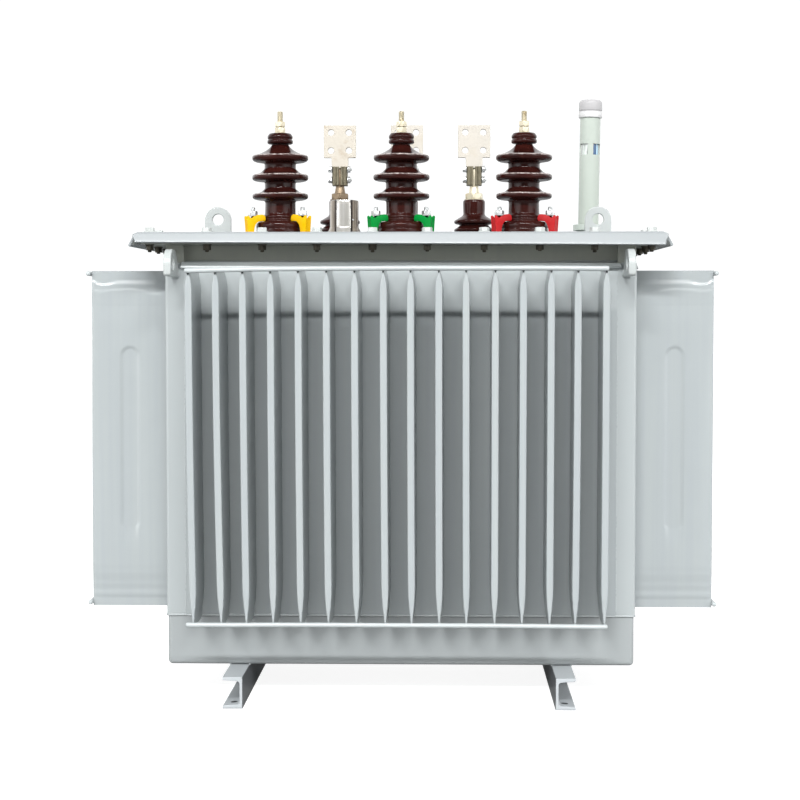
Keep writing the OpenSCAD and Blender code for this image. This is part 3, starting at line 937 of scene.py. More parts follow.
# neck under the rim: front and side plates between four corner posts
neck = Soup()
neck.add(*rounded_box(446, 213, WALL + 3, 923.5, 2))
neck.add(*rounded_box(458, 209, WALL + 3, 923.5, 2))
for sx in (-1, 1):
    for sy in (-1, 1):
        post = fillet([(442, 193), (479, 193), (479, 232), (442, 232)], [0, 1, 4, 2], 4)
        neck.add(*plate([(sx * a, sy * b) for a, b in post], [], 923.5 - WALL - 3, c=0.4,
                        place=lambda p: (p[0], p[1], WALL + 3 + p[2])))
make("tank_neck", neck.v, neck.f, "neck", "tank_paint", sharp=40, even=True)

# ----------------------------------------------------------------------------
# cover
# ----------------------------------------------------------------------------
CX, CY = 526.0, 300.0


def lip_loop(ang, drop, ro, t=6.0):
    """Section of a bent lip: outer side, rounded edge, inner side; first axis outwards, second axis up from the top face."""
    bend = PI / 2 - ang
    ri = ro - t
    outer, inner = [(-1.0, 0.0)], [(-1.0, -t)]
    for k in range(9):
        a = bend * k / 8
        outer.append((ro * math.sin(a), -ro + ro * math.cos(a)))
        inner.append((ri * math.sin(a), -ro + ri * math.cos(a)))
    dx, dz = math.cos(bend), -math.sin(bend)
    (ox, oz), (ix, iz) = outer[-1], inner[-1]
    total = (drop + oz) / -dz
    for f in (0.3, 0.6, 0.85):
        outer.append((ox + dx * total * f, oz + dz * total * f))
        inner.append((ix + dx * total * f, iz + dz * total * f))
    ex, ez = ox + dx * total, oz + dz * total
    jx, jz = ix + dx * total, iz + dz * total
    for k in (1, 2, 3):
        f = 0.5 * (1 - math.cos(PI / 2 * k / 3))
        back = 1.6 * (1 - math.sin(PI / 2 * k / 3))
        outer.append((ex + (jx - ex) * f - dx * back, ez + (jz - ez) * f - dz * back))
        inner.append((jx + (ex - jx) * f - dx * back, jz + (ez - jz) * f - dz * back))
    return outer + inner[::-1]


def lip(length, ang, drops, ro, cut, place, wob):
    """One bent lip, as a closed solid; cut(depth) is how far its ends draw in at that depth below the top face."""
    vs, fs = [], []
    rows = []
    us = [0.0, 0.15, 0.6, 1.5, 3.0, 8.0]
    N = 48
    grid = us + [8.0 + (length - 16.0) * i / N for i in range(1, N)] + [length - x for x in us[::-1]]
    for u in grid:
        f = u / length
        drop = drops[0] + (drops[1] - drops[0]) * f
        loop = lip_loop(ang, drop, ro)
        k = len(loop)
        row = []
        edge = min(u, length - u)
        e = 0.6 * max(0.0, 1 - edge / 1.5)
        for j, (o, z) in enumerate(loop):
            # the ends draw in towards the bottom, less and less away from the end
            s = cut(-z) * max(0.0, 1 - edge / 60.0)
            uu = u + (s if u < length / 2 else -s)
            cx0 = sum(p[0] for p in (loop[j], loop[k - 1 - j])) / 2
            cz0 = sum(p[1] for p in (loop[j], loop[k - 1 - j])) / 2
            w = wob * noise.noise(Vector((u * 0.006, o * 0.01, length))) * max(0.0, min(1.0, (-z - 3.0) / (drop - 3.0)))
            row.append(len(vs))
            q = (o + (cx0 - o) * e + w, z + (cz0 - z) * e)
            vs.append(place((uu, q[0], q[1])))
        rows.append(row)
    for a, b in zip(rows, rows[1:]):
        for j in range(k):
            jj = (j + 1) % k
            fs.append((a[j], a[jj], b[jj], b[j]))
    fs.append(tuple(rows[0][::-1]))
    fs.append(tuple(rows[-1]))
    return vs, fs


def cut_front(d):
    """Follows the bend of the side lip near the top, then opens a narrow gap towards the bottom."""
    return interp(d, [(0, 10.5), (1.2, 6.5), (3.2, 2.8), (6.5, 0.2), (9, 0.0), (11, 1.2), (14, 4.0), (18, 5.6), (25, 6.6)])


cover = Soup()
top = fillet([(-CX, -CY), (CX, -CY), (CX, CY), (-CX, CY)], 2, 3)
vs, fs = plate(top, [], 6.0, c=0.5, place=lambda p: (p[0], p[1], COV - 6 + p[2]))
cover.add(vs, fs)
# the long lips are a little deeper at one end
for sgn, drops in ((-1, (26.4, 20.4)), (1, (23.0, 23.0))):
    cover.add(*lip(1070.4, math.radians(23.6), drops, 8.0, cut_front,
                   lambda p, s=sgn: (s * (535.2 - p[0]), s * (CY - 1 + p[1]), COV + p[2]), 1.2) if sgn > 0 else
              lip(1070.4, math.radians(23.6), drops, 8.0, cut_front,
                  lambda p: (535.2 - p[0], -(CY - 1 + p[1]), COV + p[2]), 1.2))
for sgn, drops in ((-1, (27.0, 22.0)), (1, (27.0, 22.0))):
    cover.add(*lip(594, math.radians(30), drops, 12.0, lambda d: 0.08 * d,
                   lambda p, s=sgn: (s * (CX - 2 + p[1]), p[0] - 297, COV + p[2]), 0.8))
make("cover_sheet", cover.v, cover.f, "cover", "cover_paint", replaces=("cover",), sharp=48, even=True)
# painted shade: dark sheets fill the open corners between the lips, for the shade inside them
dark = Soup()
for sx in (-1, 1):
    for sy in (-1, 1):
        dark.add(*plate([(521, 921.5), (539, 921.5), (534.5, 938), (529, 943), (521, 943)], [], 1.2, c=0.0,
                        place=lambda p, sx=sx, sy=sy: (sx * p[0], sy * (294.6 - p[2]), p[1])))
make("cover_corner_insides", dark.v, dark.f, "shade", "cover_paint", flat=True)

# ----------------------------------------------------------------------------
# lifting eyes and tank lugs
# ----------------------------------------------------------------------------
for side, x in (("left", -401), ("right", 421)):
    outline = [(-28.5, 0), (28.5, 0), (28.5, 40.5)]
    arc = [(28.5 * math.cos(a), 40.5 + 28.5 * math.sin(a)) for a in [PI * k / 24 for k in range(1, 24)]]
    outline += arc + [(-28.5, 40.5)]
    vs, fs = plate(outline, [circle(0, 41.5, 12, 32)], 12, c=1.6, segs=3,
                   place=lambda p, x=x: (x + p[0], 6 - p[2], COV + p[1]))
    make("cover_eye_" + side, vs, fs, "eye", "cover_paint", replaces=("lifting_eye_" + side,), sharp=60, even=True)

for fb, sy in (("front", -1), ("back", 1)):
    for side, sx in (("left", -1), ("right", 1)):
        round_top = [(-313 + 32 * math.cos(a), 880 + 32 * math.sin(a)) for a in [PI * (1 - 0.5 * k / 12) for k in range(13)]]
        outline = [(-238, 858)] + [(-339, 858), (-343.2, 859.8), (-345, 864)] + round_top + [(-276, 912), (-271, 910), (-238, 873.5)]
        vs, fs = plate(outline, [circle(-308, 884, 15, 32)], 15, c=2.4, segs=3,
                       place=lambda p, sx=sx, sy=sy: (sx * (452 + p[2]), -sy * p[0], p[1]))
        make("lug_%s_%s" % (fb, side), vs, fs, "eye", "cover_paint",
             replaces=("tank_lug_%s_%s" % (fb, side),), sharp=60, even=True)

# ----------------------------------------------------------------------------
# foot channels
# ----------------------------------------------------------------------------
prof = [(310, 0.0), (350, 0.0), (350, 6.2), (319.5, 8.2), (316, 12), (316, 51), (319.5, 54.8), (350, 56.8), (350, 63.0), (310, 63.0)]
prof = fillet(prof, [0.8, 0.6, 2.6, 5, 0, 0, 5, 2.6, 0.6, 0.8], 4)
for side, sx in (("left", -1), ("right", 1)):
    vs, fs = plate(prof, [], 739.6, c=0.7, place=lambda p, sx=sx: (sx * p[0], p[2] - 369.8, p[1]))
    make("foot_channel_" + side, vs, fs, "foot", "tank_paint", replaces=("channel_" + side,), sharp=60, even=True)
    # mounting holes in the lower flange, drawn as dark discs of painted shade flush with its sloping inner face
    s = Soup()
    for yy in (-340.0, 340.0):
        rim = circle(330.0, yy, 7.0, 32)
        lp = [(sx * u, v, 6.35 + (350 - u) / 30.5 * 2.0) for u, v in rim] + [(sx * u, v, 0.05) for u, v in rim]
        n = len(rim)
        order = 1 if sx > 0 else -1
        s.add(lp, [tuple(range(n))[::order], tuple(range(n, 2 * n))[::-order]]
              + [(i, i + n, (i + 1) % n + n, (i + 1) % n)[::order] for i in range(n)])
    make("foot_holes_" + side, s.v, s.f, "painted_shadow", "fin_paint", flat=True)

# ----------------------------------------------------------------------------
# rim flange, gasket, cover bolts
# ----------------------------------------------------------------------------


def frame_plate(x, y, hx, hy, z0, z1, c):
    out = fillet([(-x, -y), (x, -y), (x, y), (-x, y)], 3, 3)
    hole = [(-hx, -hy), (hx, -hy), (hx, hy), (-hx, hy)]
    return plate(out, [hole], z1 - z0, c=c, place=lambda p: (p[0], p[1], z0 + p[2]))


make("rim_flange_plate", *frame_plate(520, 294, 420, 190, 923, 931, 1.0), "flange", "tank_paint",
     replaces=("rim_flange",), sharp=60, even=True)
make("gasket_strip", *frame_plate(516, 290, 420, 190, 930.8, 941.4, 1.5), "rubber", "gasket_rubber",
     replaces=("cover_gasket",), sharp=60, even=True)

bolts = [(x, sy * 275.0) for sy in (-1, 1) for x in (-505, -389, -277.5, -167, -55, 55, 169.5, 281, 391, 505)]
bolts += [(sx * 505.0, y) for sx in (-1, 1) for y in (-165, -55, 55, 165)]
heads, unders = Soup(), Soup()
for i, (x, y) in enumerate(bolts):
    t = RNG.uniform(0, PI / 3)
    heads.add(*revolve([(0, 0), (12, 0), (12, 2.2), (11.4, 2.6), (0, 2.6)], 28, (x, y, COV - 0.3)))
    heads.add(*hex_nut(18, 7.6, (x, y, COV + 2.2), t, both=False))
    unders.add(*revolve([(0, 0), (9.0, 0), (9.4, 0.5), (9.4, 2.1), (0, 2.1)], 28, (x, y, 920.9)))
    unders.add(*hex_nut(14, 9.6, (x, y, 911.3), t + 0.4))
    vs, fs = thread(4.4, 0, 9.5 + RNG.uniform(-1.5, 1.5), 1.75, (0, 0, 0), segs=18)
    unders.add(vs, fs, lambda p, x=x, y=y: (x + p[0], y - p[1], 917 - p[2]))
make("cover_bolt_heads", heads.v, heads.f, "head", "plated_steel", sharp=32)
make("cover_bolt_nuts", unders.v, unders.f, "bolt", "plated_steel", sharp=32)

# ----------------------------------------------------------------------------
# weld beads
# ----------------------------------------------------------------------------
weld = Soup()
seed = 0


def bead_line(a, b, r, step=3.0, squash=1.0):
    global seed
    seed += 1
    weld.add(*sweep(line(a, b, step), r, sides=8, ripple=0.22, ripple_len=7.0, seed=seed, squash=squash))


for sy in (-1, 1):
    y = sy * (HD - 1.0)
    for sx in (-1, 1):
        # seam of the bottom tray under the corner plates, and the upright seams beside the fins
        bead_line((sx * 478, y, SEAM), (sx * 436, y, SEAM), 2.4)
        bead_line((sx * 440.5, sy * (HD - 2.2), SEAM + 4), (sx * 440.5, sy * (HD - 2.2), WALL - 4), 2.6, 4.0)
        # lug welds
        for dx in (0.4, 14.6):
            bead_line((sx * (452 + dx), sy * HD, 859), (sx * (452 + dx), sy * HD, 874), 3.0, 2.0)
        bead_line((sx * 451, sy * HD, 858), (sx * 468, sy * HD, 858), 2.4, 2.0)
        bead_line((sx * 446, sy * (HD - 1), WALL + 8), (sx * 478, sy * (HD - 6), WALL + 8.5), 2.6)
    bead_line((-440, sy * (HD - 0.5), SEAM - 0.5), (440, sy * (HD - 0.5), SEAM - 0.5), 2.2, 4.0)
    bead_line((-447, sy * (HD + 5), WALL), (447, sy * (HD + 5), WALL), 1.6, 4.0)
    bead_line((-445, sy * 214, WALL + 13.5), (445, sy * 214, WALL + 13.5), 2.2, 4.0)
for sx in (-1, 1):
    x = sx * (HW - 1.0)
    for sy in (-1, 1):
        bead_line((x, sy * 238, SEAM), (x, sy * 196, SEAM), 2.4)
        bead_line((sx * (HW - 2.2), sy * 200.5, SEAM + 4), (sx * (HW - 2.2), sy * 200.5, WALL - 4), 2.6, 4.0)
    bead_line((x, -198, SEAM - 0.5), (x, 198, SEAM - 0.5), 2.2, 4.0)
    bead_line((sx * (HW + 5), -207, WALL), (sx * (HW + 5), 207, WALL), 1.6, 4.0)
    # feet to tray
    for dx in (0.5, 39.5):
        for sy in (-1, 1):
            bead_line((sx * (310 + dx), sy * 236, 63.0), (sx * (310 + dx), sy * 176, 63.0), 2.2, 2.5)
    # lifting eyes to the cover
    for yy in (-6, 6):
        bead_line((10 + sx * 411 - 27, yy, COV + 0.3), (10 + sx * 411 + 27, yy, COV + 0.3), 2.0, 2.5)
make("weld_beads", weld.v, weld.f, "weld", "tank_paint", sharp=60)

# ----------------------------------------------------------------------------
# high-voltage bushings
# ----------------------------------------------------------------------------
HV = [(0, 0.4), (48.6, 0.4), (49.7, 1.8), (50.0, 5), (50.0, 12), (49.6, 12.8), (49.2, 13.6), (49.6, 14.4), (50.0, 15.2), (50.0, 20.5), (49.5, 23.4),
      (48.2, 25.6), (46, 27.2), (42, 27.8), (36.6, 28.0),
      (35.3, 28.8), (34.8, 30.2), (35.2, 31.6), (35.4, 33.4), (35.0, 34.6), (34.3, 35.2), (34.4, 35.9), (35.2, 36.7), (35.4, 38.4),
      (35.0, 40.6), (34.0, 42.2), (32.8, 43.4), (32.2, 45.2), (31.9, 48), (31.8, 58), (31.8, 68), (32.2, 70.4), (33.6, 72.0),
      (38, 73.0), (44, 73.7), (50, 74.6), (54, 75.7), (56.6, 77.2), (58.0, 79.2), (58.3, 81.4), (58.1, 83.8), (57.4, 85.6),
      (56.2, 86.4), (54.6, 86.5), (51, 87.2), (47, 88.2), (43, 89.5), (39.5, 91.4), (36.8, 93.8), (35.2, 95.0), (34.0, 95.8),
      (33.0, 97.2), (32.4, 99.4), (32.3, 103),
      (32.3, 108), (32.6, 109.8), (34, 111.2), (38, 111.9), (44, 112.5), (50, 113.2), (54, 114.2), (56.6, 115.7), (58.0, 117.8),
      (58.3, 120.2), (58.1, 123.2), (57.4, 125.2), (56.2, 126.1), (54.6, 126.2), (51, 127.0), (47, 128.2), (43, 129.8),
      (39.5, 132.0), (36.8, 134.8), (35.2, 136.2), (34.0, 137.2), (33.0, 138.8), (32.4, 141), (32.3, 144),
      (32.3, 147), (32.6, 149.0), (34, 150.3), (38, 151.1), (44, 151.9), (50, 152.9), (54, 154.4), (56.6, 156.3), (58.0, 158.7),
      (58.3, 161), (58.1, 163.4), (57.4, 165.2), (56.2, 166.1), (54.6, 166.4), (50, 167.4), (45, 168.9), (40, 171.0), (35.5, 173.2),
      (31.5, 175.4), (28, 177.6), (25, 179.8), (22, 182.6), (19.6, 185.2), (18.0, 187.2), (17.6, 188.4), (18.2, 189.2), (20.4, 189.6),
      (24, 190.2), (26.2, 191.6), (26.9, 193.8), (26.8, 196.4), (26.0, 198.2), (25.0, 199.2), (24.9, 200.2), (25.6, 201.2), (26.3, 203.0),
      (26.4, 205.4), (25.6, 207.6), (24.4, 208.9), (23.7, 210.2), (22.8, 211.4), (21.0, 211.8), (0, 211.9)]


def wobble_fn(seed, amount=0.5):
    """Hand-turned porcelain is never quite round."""
    def fn(p):
        x, y, z = p
        r = math.hypot(x, y)
        if r < 8:
            return p
        a = math.atan2(y, x)
        k = 1 + amount / max(r, 30) * (0.8 * math.sin(2 * a + seed) * math.sin(z * 0.05 + seed)
                                       + 0.7 * noise.noise(Vector((math.cos(a) * 2.2, math.sin(a) * 2.2, z * 0.045 + seed * 5))))
        zz = z + 0.9 * noise.noise(Vector((math.cos(a) * 1.1 + 9, math.sin(a) * 1.1, seed * 3.0))) * min(1, r / 58) * (1 if 60 < z < 190 else 0.1)
        return (x * k, y * k, max(0.3, min(211.9, zz)))
    return fn


def dense(profile, step):
    out = [profile[0]]
    for a, b in zip(profile, profile[1:]):
        d = math.hypot(b[0] - a[0], b[1] - a[1])
        n = max(1, int(d / step))
        for k in range(1, n + 1):
            out.append((a[0] + (b[0] - a[0]) * k / n, a[1] + (b[1] - a[1]) * k / n))
    return out


HVX = (("left", -253.0, "yellow", -5), ("middle", 0.0, "green", 0), ("right", 255.0, "red", 1))
HVY, LVY = -140.0, 133.0


def hook(s, turn, dx, dy, seed):
    """One cast hook: a curved body with a walled pocket round its stud, wall tops dipping in a V beside the nut."""
    def place(p):
        r, w, z = p
        a = turn
        return (dx + r * math.cos(a) - w * math.sin(a), dy + r * math.sin(a) + w * math.cos(a), COV + z)
    side = [(35.6, 30.4), (37, 28.9), (41, 28.6), (47, 28.4), (51, 27.4), (54.2, 25.2), (57, 21.4), (59.0, 16), (60.2, 10), (60.8, 0.2),
            (73.6, 0.2), (74.4, 10), (75.4, 24), (76.6, 36.2), (76.2, 38.4), (74.6, 39.6), (72.2, 39.0), (69.4, 36.4), (66.8, 34.2),
            (64.2, 35.4), (61.2, 38.4), (58.2, 40.2), (54, 41.4), (49, 42.0), (44, 42.6), (40.5, 42.4), (37.4, 40.6), (35.7, 37.6), (35.1, 33.6)]
    core = [(36.6, 31), (38, 29.6), (47, 29.2), (51.5, 27.8), (55, 25.2), (58, 21), (60.2, 15.4), (61.4, 9.4), (61.9, 0.6),
            (72.8, 0.6), (73.6, 10), (74.6, 24), (75.0, 33.2), (66, 34.0), (58, 37.4), (50, 40.4), (44, 41.2), (40.5, 41.0), (38, 39.4), (36.4, 36)]
    for w0 in (-9.0, 5.2):
        s.add(*plate(side, [], 3.8, c=1.1, segs=2, place=lambda p, w0=w0: place((p[0], w0 + p[2], p[1]))))
    s.add(*plate(core, [], 12.6, c=0.6, segs=1, place=lambda p: place((p[0], -6.3 + p[2], p[1]))))


for k, (side, hx, tone, deg) in enumerate(HVX):
    vs, fs = revolve(dense(HV, 3.5), 96)
    fn = wobble_fn(k * 1.7 + 0.6)
    make("hv_porcelain_" + side, [(hx + a, HVY + b, COV + c) for a, b, c in (fn(p) for p in vs)], fs, "porcelain_hv",
         "brown_porcelain", replaces=("hv_bushing_" + side,), sharp=60)
    # stud, washer and two nuts
    s = Soup()
    s.add(*thread(6.0, 236.0, 257.8, 1.75, (hx, HVY, COV), segs=26))
    s.add(*revolve([(0, 205), (6, 205), (6, 237), (0, 237)], 24, (hx, HVY, COV)))
    s.add(*revolve([(0, 0), (12.3, 0), (12.5, 0.4), (12.5, 1.8), (12, 2.2), (0, 2.2)], 32, (hx, HVY, COV + 211.8)))
    s.add(*hex_nut(19, 10.8, (hx, HVY, COV + 214.0), 0.3 + k * 0.5))
    s.add(*hex_nut(19, 10.6, (hx, HVY, COV + 225.8), 0.75 + k * 0.3))
    make("hv_terminal_" + side, s.v, s.f, "tin", "tinned_metal", replaces=("hv_stud_" + side,), sharp=32)
    # hooks, and their studs, washers and nuts
    s, b = Soup(), Soup()
    for j, a in enumerate((-150, -30, 90)):
        t = math.radians(a + deg)
        hook(s, t, hx, HVY, k * 3 + j)
        bx, by = hx + 60.5 * math.cos(t), HVY + 60.5 * math.sin(t)
        b.add(*revolve([(0, 0), (9.8, 0), (10, 0.4), (10, 1.6), (9.6, 2.0), (0, 2.0)], 28, (bx, by, COV + 39.4)))
        b.add(*hex_nut(17, 8.2, (bx, by, COV + 41.4), RNG.uniform(0, 1)))
        b.add(*thread(5.0, 48.5, 57.4, 1.5, (bx, by, COV), segs=20))
    make("hv_hooks_" + side, s.v, s.f, tone, tone + "_paint", replaces=("hv_clamps_" + side,), sharp=38)
    make("hv_hook_nuts_" + side, b.v, b.f, "zinc", "plated_steel", sharp=32)
# thin gasket under each high-voltage bushing
s = Soup()
for side, hx, tone, deg in HVX:
    s.add(*revolve([(0, 0), (50.4, 0), (51, 0.8), (50.4, 1.6), (0, 1.6)], 64, (hx, HVY, COV)))
make("hv_gaskets", s.v, s.f, "rubber", "gasket_rubber", sharp=40)

# ----------------------------------------------------------------------------
# low-voltage bushings, studs and palms
# ----------------------------------------------------------------------------
LV = [(0, 0.2), (39, 0.2), (40, 1.2), (40, 7), (38.6, 8.4), (35, 10.2), (33.4, 12), (33, 15), (33.4, 18), (36, 19.4), (41, 20.8), (43.6, 22.2),
      (44.6, 24.2), (44.6, 26.2), (43.6, 27.8), (41, 29.2), (38, 31), (35, 33), (33.0, 34.6), (32.6, 36.2), (33.6, 37.2), (38, 38.0),
      (42, 39.0), (44.2, 40.8), (44.8, 43), (44.6, 45), (43.6, 46.6), (41, 48.0), (37, 50.6), (33, 53), (29.4, 55), (26.6, 57), (24.9, 59.4),
      (24.3, 62), (24.4, 66), (24.6, 74), (24.6, 86), (24.3, 89), (23.4, 91), (21.4, 92.0), (0, 92.2)]

LVX = (("left", -144.0), ("middle", 6.0), ("right", 156.0))
for k, (side, lx) in enumerate(LVX):
    vs, fs = revolve(dense(LV, 3.0), 80)
    fn = wobble_fn(k * 2.3 + 4.1, 0.35)
    make("lv_porcelain_" + side, [(lx + a, LVY + b, COV + min(c, 92.2)) for a, b, c in (fn(p) for p in vs)], fs, "porcelain",
         "brown_porcelain", replaces=("lv_bushing_" + side,), sharp=60)
    s = Soup()
    s.add(*revolve([(0, 0), (21.6, 0), (22, 0.4), (22, 1.6), (21.6, 2), (0, 2)], 40, (lx, LVY, COV + 92.2)))
    s.add(*hex_nut(36, 13.0, (lx, LVY, COV + 94.0), (0.52, 0.2, 0.35)[k], chamfer=1.6))
    s.add(*revolve([(0, 100), (12.6, 100), (12.6, 107.4), (12.0, 109), (11.4, 112), (10.4, 117), (9.7, 121), (9.6, 124.5), (10.6, 126), (10.6, 158), (10, 160), (0, 160)],
                   40, (lx, LVY, COV)))
    make("lv_terminal_" + side, s.v, s.f, "bronze" if k == 0 else "tin", "tinned_metal", replaces=("lv_stud_" + side,), sharp=32)
    # palm plate with four holes, its neck, and the split clamp
    z0, z1, z2 = COV + 124.6, COV + 166.3, COV + 186.7
    outline = [(-18.8, z1 - 3), (18.8, z1 - 3), (18.8, z2), (36, z2), (36, z2 + 72), (-36, z2 + 72), (-36, z2), (-18.8, z2)]
    outline = fillet(outline, [0.5, 0.5, 2.0, 1.5, 1.5, 1.5, 1.5, 2.0], 3)
    holes = [circle(20 * a, z2 + 36 + 20 * b, 7, 28) for a in (-1, 1) for b in (-1, 1)]
    vs, fs = plate(outline, holes, 10, c=0.8, segs=2, place=lambda p, x=lx: (x + p[0], LVY + 5 - p[2], p[1]))
    make("lv_palm_plate_" + side, vs, fs, "palm" if k else "palm_stained", "tinned_metal", replaces=("lv_palm_" + side,), sharp=60, even=True)
    s = Soup()
    # clamp halves: two cast lobes split at the front, hollow for the stud
    arc = [(12.0 * math.sin(a), -12.0 * math.cos(a)) for a in [0.16 + (2 * PI - 0.32) * i / 40 for i in range(41)]]
    half = [(1.9, -16.2), (2.6, -17.0), (5.2, -17.0), (6.2, -16.4), (7.0, -15.2), (7.9, -14.7), (9.0, -15.3), (10.6, -16.4), (12.6, -16.6), (14.6, -15.8),
            (16.2, -14.0), (16.9, -11.5), (17, -8), (17, 16), (16, 17)]
    ring = [(-1.9, -12.2)] + [(-x, y) for x, y in arc[1:-1]] + [(1.9, -12.2)] + half + [(-a, b) for a, b in half[::-1]]
    s.add(*plate(ring, [], z1 - z0, c=0.7, segs=2, place=lambda p, x=lx: (x + p[0], LVY + p[1], z0 + p[2])))
    make("lv_clamp_" + side, s.v, s.f, "bronze_light", "tinned_metal", sharp=50, even=True)
    # two clamp bolts across, in front of the stud
    b = Soup()
    for zz in (z0 + 12.4, z0 + 36.0):
        def across(p, x=lx, zz=zz):
            return (x + p[2], LVY - 9 + p[0], zz + p[1])
        b.add(*hex_nut(13, 6.5, (0, 0, -25.5), 0.2, chamfer=0.7), across)
        b.add(*revolve([(0, -19.2), (7.8, -19.2), (8, -18.9), (8, -17.4), (7.6, -17), (0, -17)], 28), across)
        b.add(*revolve([(0, 17), (7.6, 17), (8, 17.4), (8, 18.6), (7.8, 19), (0, 19)], 28), across)
        b.add(*hex_nut(13, 5.0, (0, 0, 19.0), 0.7, chamfer=0.7), across)
        b.add(*thread(4, 20.0, 27.0, 1.25, (0, 0, 0), segs=16), across)
    make("lv_clamp_bolts_" + side, b.v, b.f, "zinc", "plated_steel", sharp=32)
s = Soup()
for side, lx in LVX:
    s.add(*revolve([(0, 0), (41.5, 0), (42.3, 0.8), (41.5, 1.5), (0, 1.5)], 56, (lx, LVY, COV)))
make("lv_gaskets", s.v, s.f, "rubber", "gasket_rubber", sharp=40)

# ----------------------------------------------------------------------------
# relief valve
# ----------------------------------------------------------------------------
VX, VY = -125.0, -40.0


def six(rc, rv, n=14):
    """Hexagon of corner radius rc with bulging faces and a shallow groove at each corner, one face to the front."""
    rc -= rv * 0.12
    h = rc * math.cos(PI / 6)
    out = []
    for f in range(6):
        m = PI / 6 + PI / 3 * f
        for k in range(n):
            q = -1 + 2 * (k + 0.5) / n
            w = rc * 0.5 * q
            r = h + 2.6 * (1 - q * q) - 2.6 * 0.55
            out.append((r * math.cos(m) - w * math.sin(m), r * math.sin(m) + w * math.cos(m)))
    return out


def loft(rings, base=(0, 0)):
    """Closed solid through rings, each (loop, height)."""
    vs, fs, idx = [], [], []
    for lp, z in rings:
        idx.append(list(range(len(vs), len(vs) + len(lp))))
        vs += [(base[0] + u, base[1] + v, z) for u, v in lp]
    n = len(rings[0][0])
    for a, b in zip(idx, idx[1:]):
        for i in range(n):
            j = (i + 1) % n
            fs.append((a[i], a[j], b[j], b[i]))
    fs.append(tuple(idx[0][::-1]))
    fs.append(tuple(idx[-1]))
    return vs, fs


s = Soup()
rings = []
for rc, rv, z in ((39.3, 7, 5.0), (39.6, 7.5, 5.8), (39.6, 7.5, 10.4), (39.2, 7.5, 11.2), (37.2, 7.5, 14.0), (35.2, 7.5, 17.4), (34.0, 7.5, 20.4),
                  (33.2, 7.5, 22.0), (33.0, 7.5, 23.2), (33.0, 7.5, 40), (33.0, 7.5, 60), (33.0, 7.5, 77.0), (32.4, 8, 78.8), (31.0, 9, 79.9), (29.4, 10, 80.3)):
    rings.append((six(rc, rv), COV + z))
s.add(*loft(rings, (VX, VY)))
make("relief_valve_body", s.v, s.f, "chrome", "valve_chrome", replaces=("relief_valve",), sharp=26)
s = Soup()
s.add(*revolve([(0, 0), (37, 0), (38, 1), (38, 4.2), (37, 5.1), (0, 5.1)], 64, (VX, VY, COV)))
make("relief_valve_gasket", s.v, s.f, "rubber", "gasket_rubber", sharp=40)
s = Soup()
vs, fs = revolve([(0, -2), (1.7, -2), (1.7, 2.2), (1.2, 2.8), (0, 2.9)], 20)
s.add(vs, fs, lambda p: (VX + 20.5 + p[0], VY - 26.9 - p[2], COV + 37 + p[1]))
make("relief_valve_pin", s.v, s.f, "zinc", "valve_chrome", sharp=40)

# ----------------------------------------------------------------------------
# oil level gauge
# ----------------------------------------------------------------------------
GX, GY = 410.0, 120.0


def leaning(p):
    """The tube and its cap stand slightly out of upright, pivoting on top of the foot."""
    a = math.radians(0.9)
    x, z = p[0] - GX, p[2] - (COV + 36.6)
    return (GX + x * math.cos(a) + z * math.sin(a), p[1], COV + 36.6 - x * math.sin(a) + z * math.cos(a))


s = Soup()
s.add(*revolve([(0, 0), (24.6, 0), (25, 0.6), (25, 22.4), (25.6, 23.0), (32.8, 23.0), (33.5, 23.8), (33.5, 35.4), (32.6, 36.4), (30, 36.6), (0, 36.6)],
               72, (GX, GY, COV)))
make("gauge_foot", s.v, s.f, "gauge_base", "gauge_enamel", replaces=("gauge_base",), sharp=40)

# tube with two tall windows, each open from beside the front rib to the side
TR, TI, Z0, ZA, ZB, Z1 = 22.6, 19.6, COV + 36.4, 1137.0, 1161.5, 1219.8
N = 96


def in_window(a):
    d = (a + PI / 2 + PI) % (2 * PI) - PI          # from the front
    e = (a - PI / 2 + PI) % (2 * PI) - PI          # from the back
    return any(math.radians(16) < abs(v) < math.radians(78) for v in (d, e))


vs, fs, idx = [], [], {}


def gv(r, i, z):
    key = (r, i % N, z)
    if key not in idx:
        a = 2 * PI * (i % N) / N
        idx[key] = len(vs)
        vs.append((GX + r * math.cos(a), GY + r * math.sin(a), z))
    return idx[key]


zs = [Z0, (Z0 + ZA) / 2, ZA, ZB, Z1]
for za, zb in zip(zs, zs[1:]):
    for i in range(N):
        am = 2 * PI * (i + 0.5) / N
        win = za == ZA and in_window(am)
        if not win:
            fs.append((gv(TR, i, za), gv(TR, i + 1, za), gv(TR, i + 1, zb), gv(TR, i, zb)))
            fs.append((gv(TI, i, zb), gv(TI, i + 1, zb), gv(TI, i + 1, za), gv(TI, i, za)))
        if za == ZA:
            ap, an = 2 * PI * (i - 0.5) / N, am
            if in_window(ap) != in_window(an):
                f = (gv(TR, i, za), gv(TR, i, zb), gv(TI, i, zb), gv(TI, i, za))
                fs.append(f if in_window(an) else f[::-1])
            if win:
                fs.append((gv(TR, i, za), gv(TR, i + 1, za), gv(TI, i + 1, za), gv(TI, i, za)))
                fs.append((gv(TI, i, zb), gv(TI, i + 1, zb), gv(TR, i + 1, zb), gv(TR, i, zb)))
for i in range(N):
    fs.append((gv(TI, i, Z0), gv(TI, i + 1, Z0), gv(TR, i + 1, Z0), gv(TR, i, Z0)))
    fs.append((gv(TR, i, Z1), gv(TR, i + 1, Z1), gv(TI, i + 1, Z1), gv(TI, i, Z1)))
make("gauge_tube_shell", [leaning(p) for p in vs], fs, "gauge", "gauge_enamel", replaces=("gauge_tube",), sharp=32)
s = Soup()
s.add(*revolve([(0, 1100), (18.2, 1100), (18.2, 1215), (0, 1215)], 64, (GX, GY, 0)))
make("gauge_glass", [leaning(p) for p in s.v], s.f, "gauge_glass", "gauge_enamel", sharp=40)

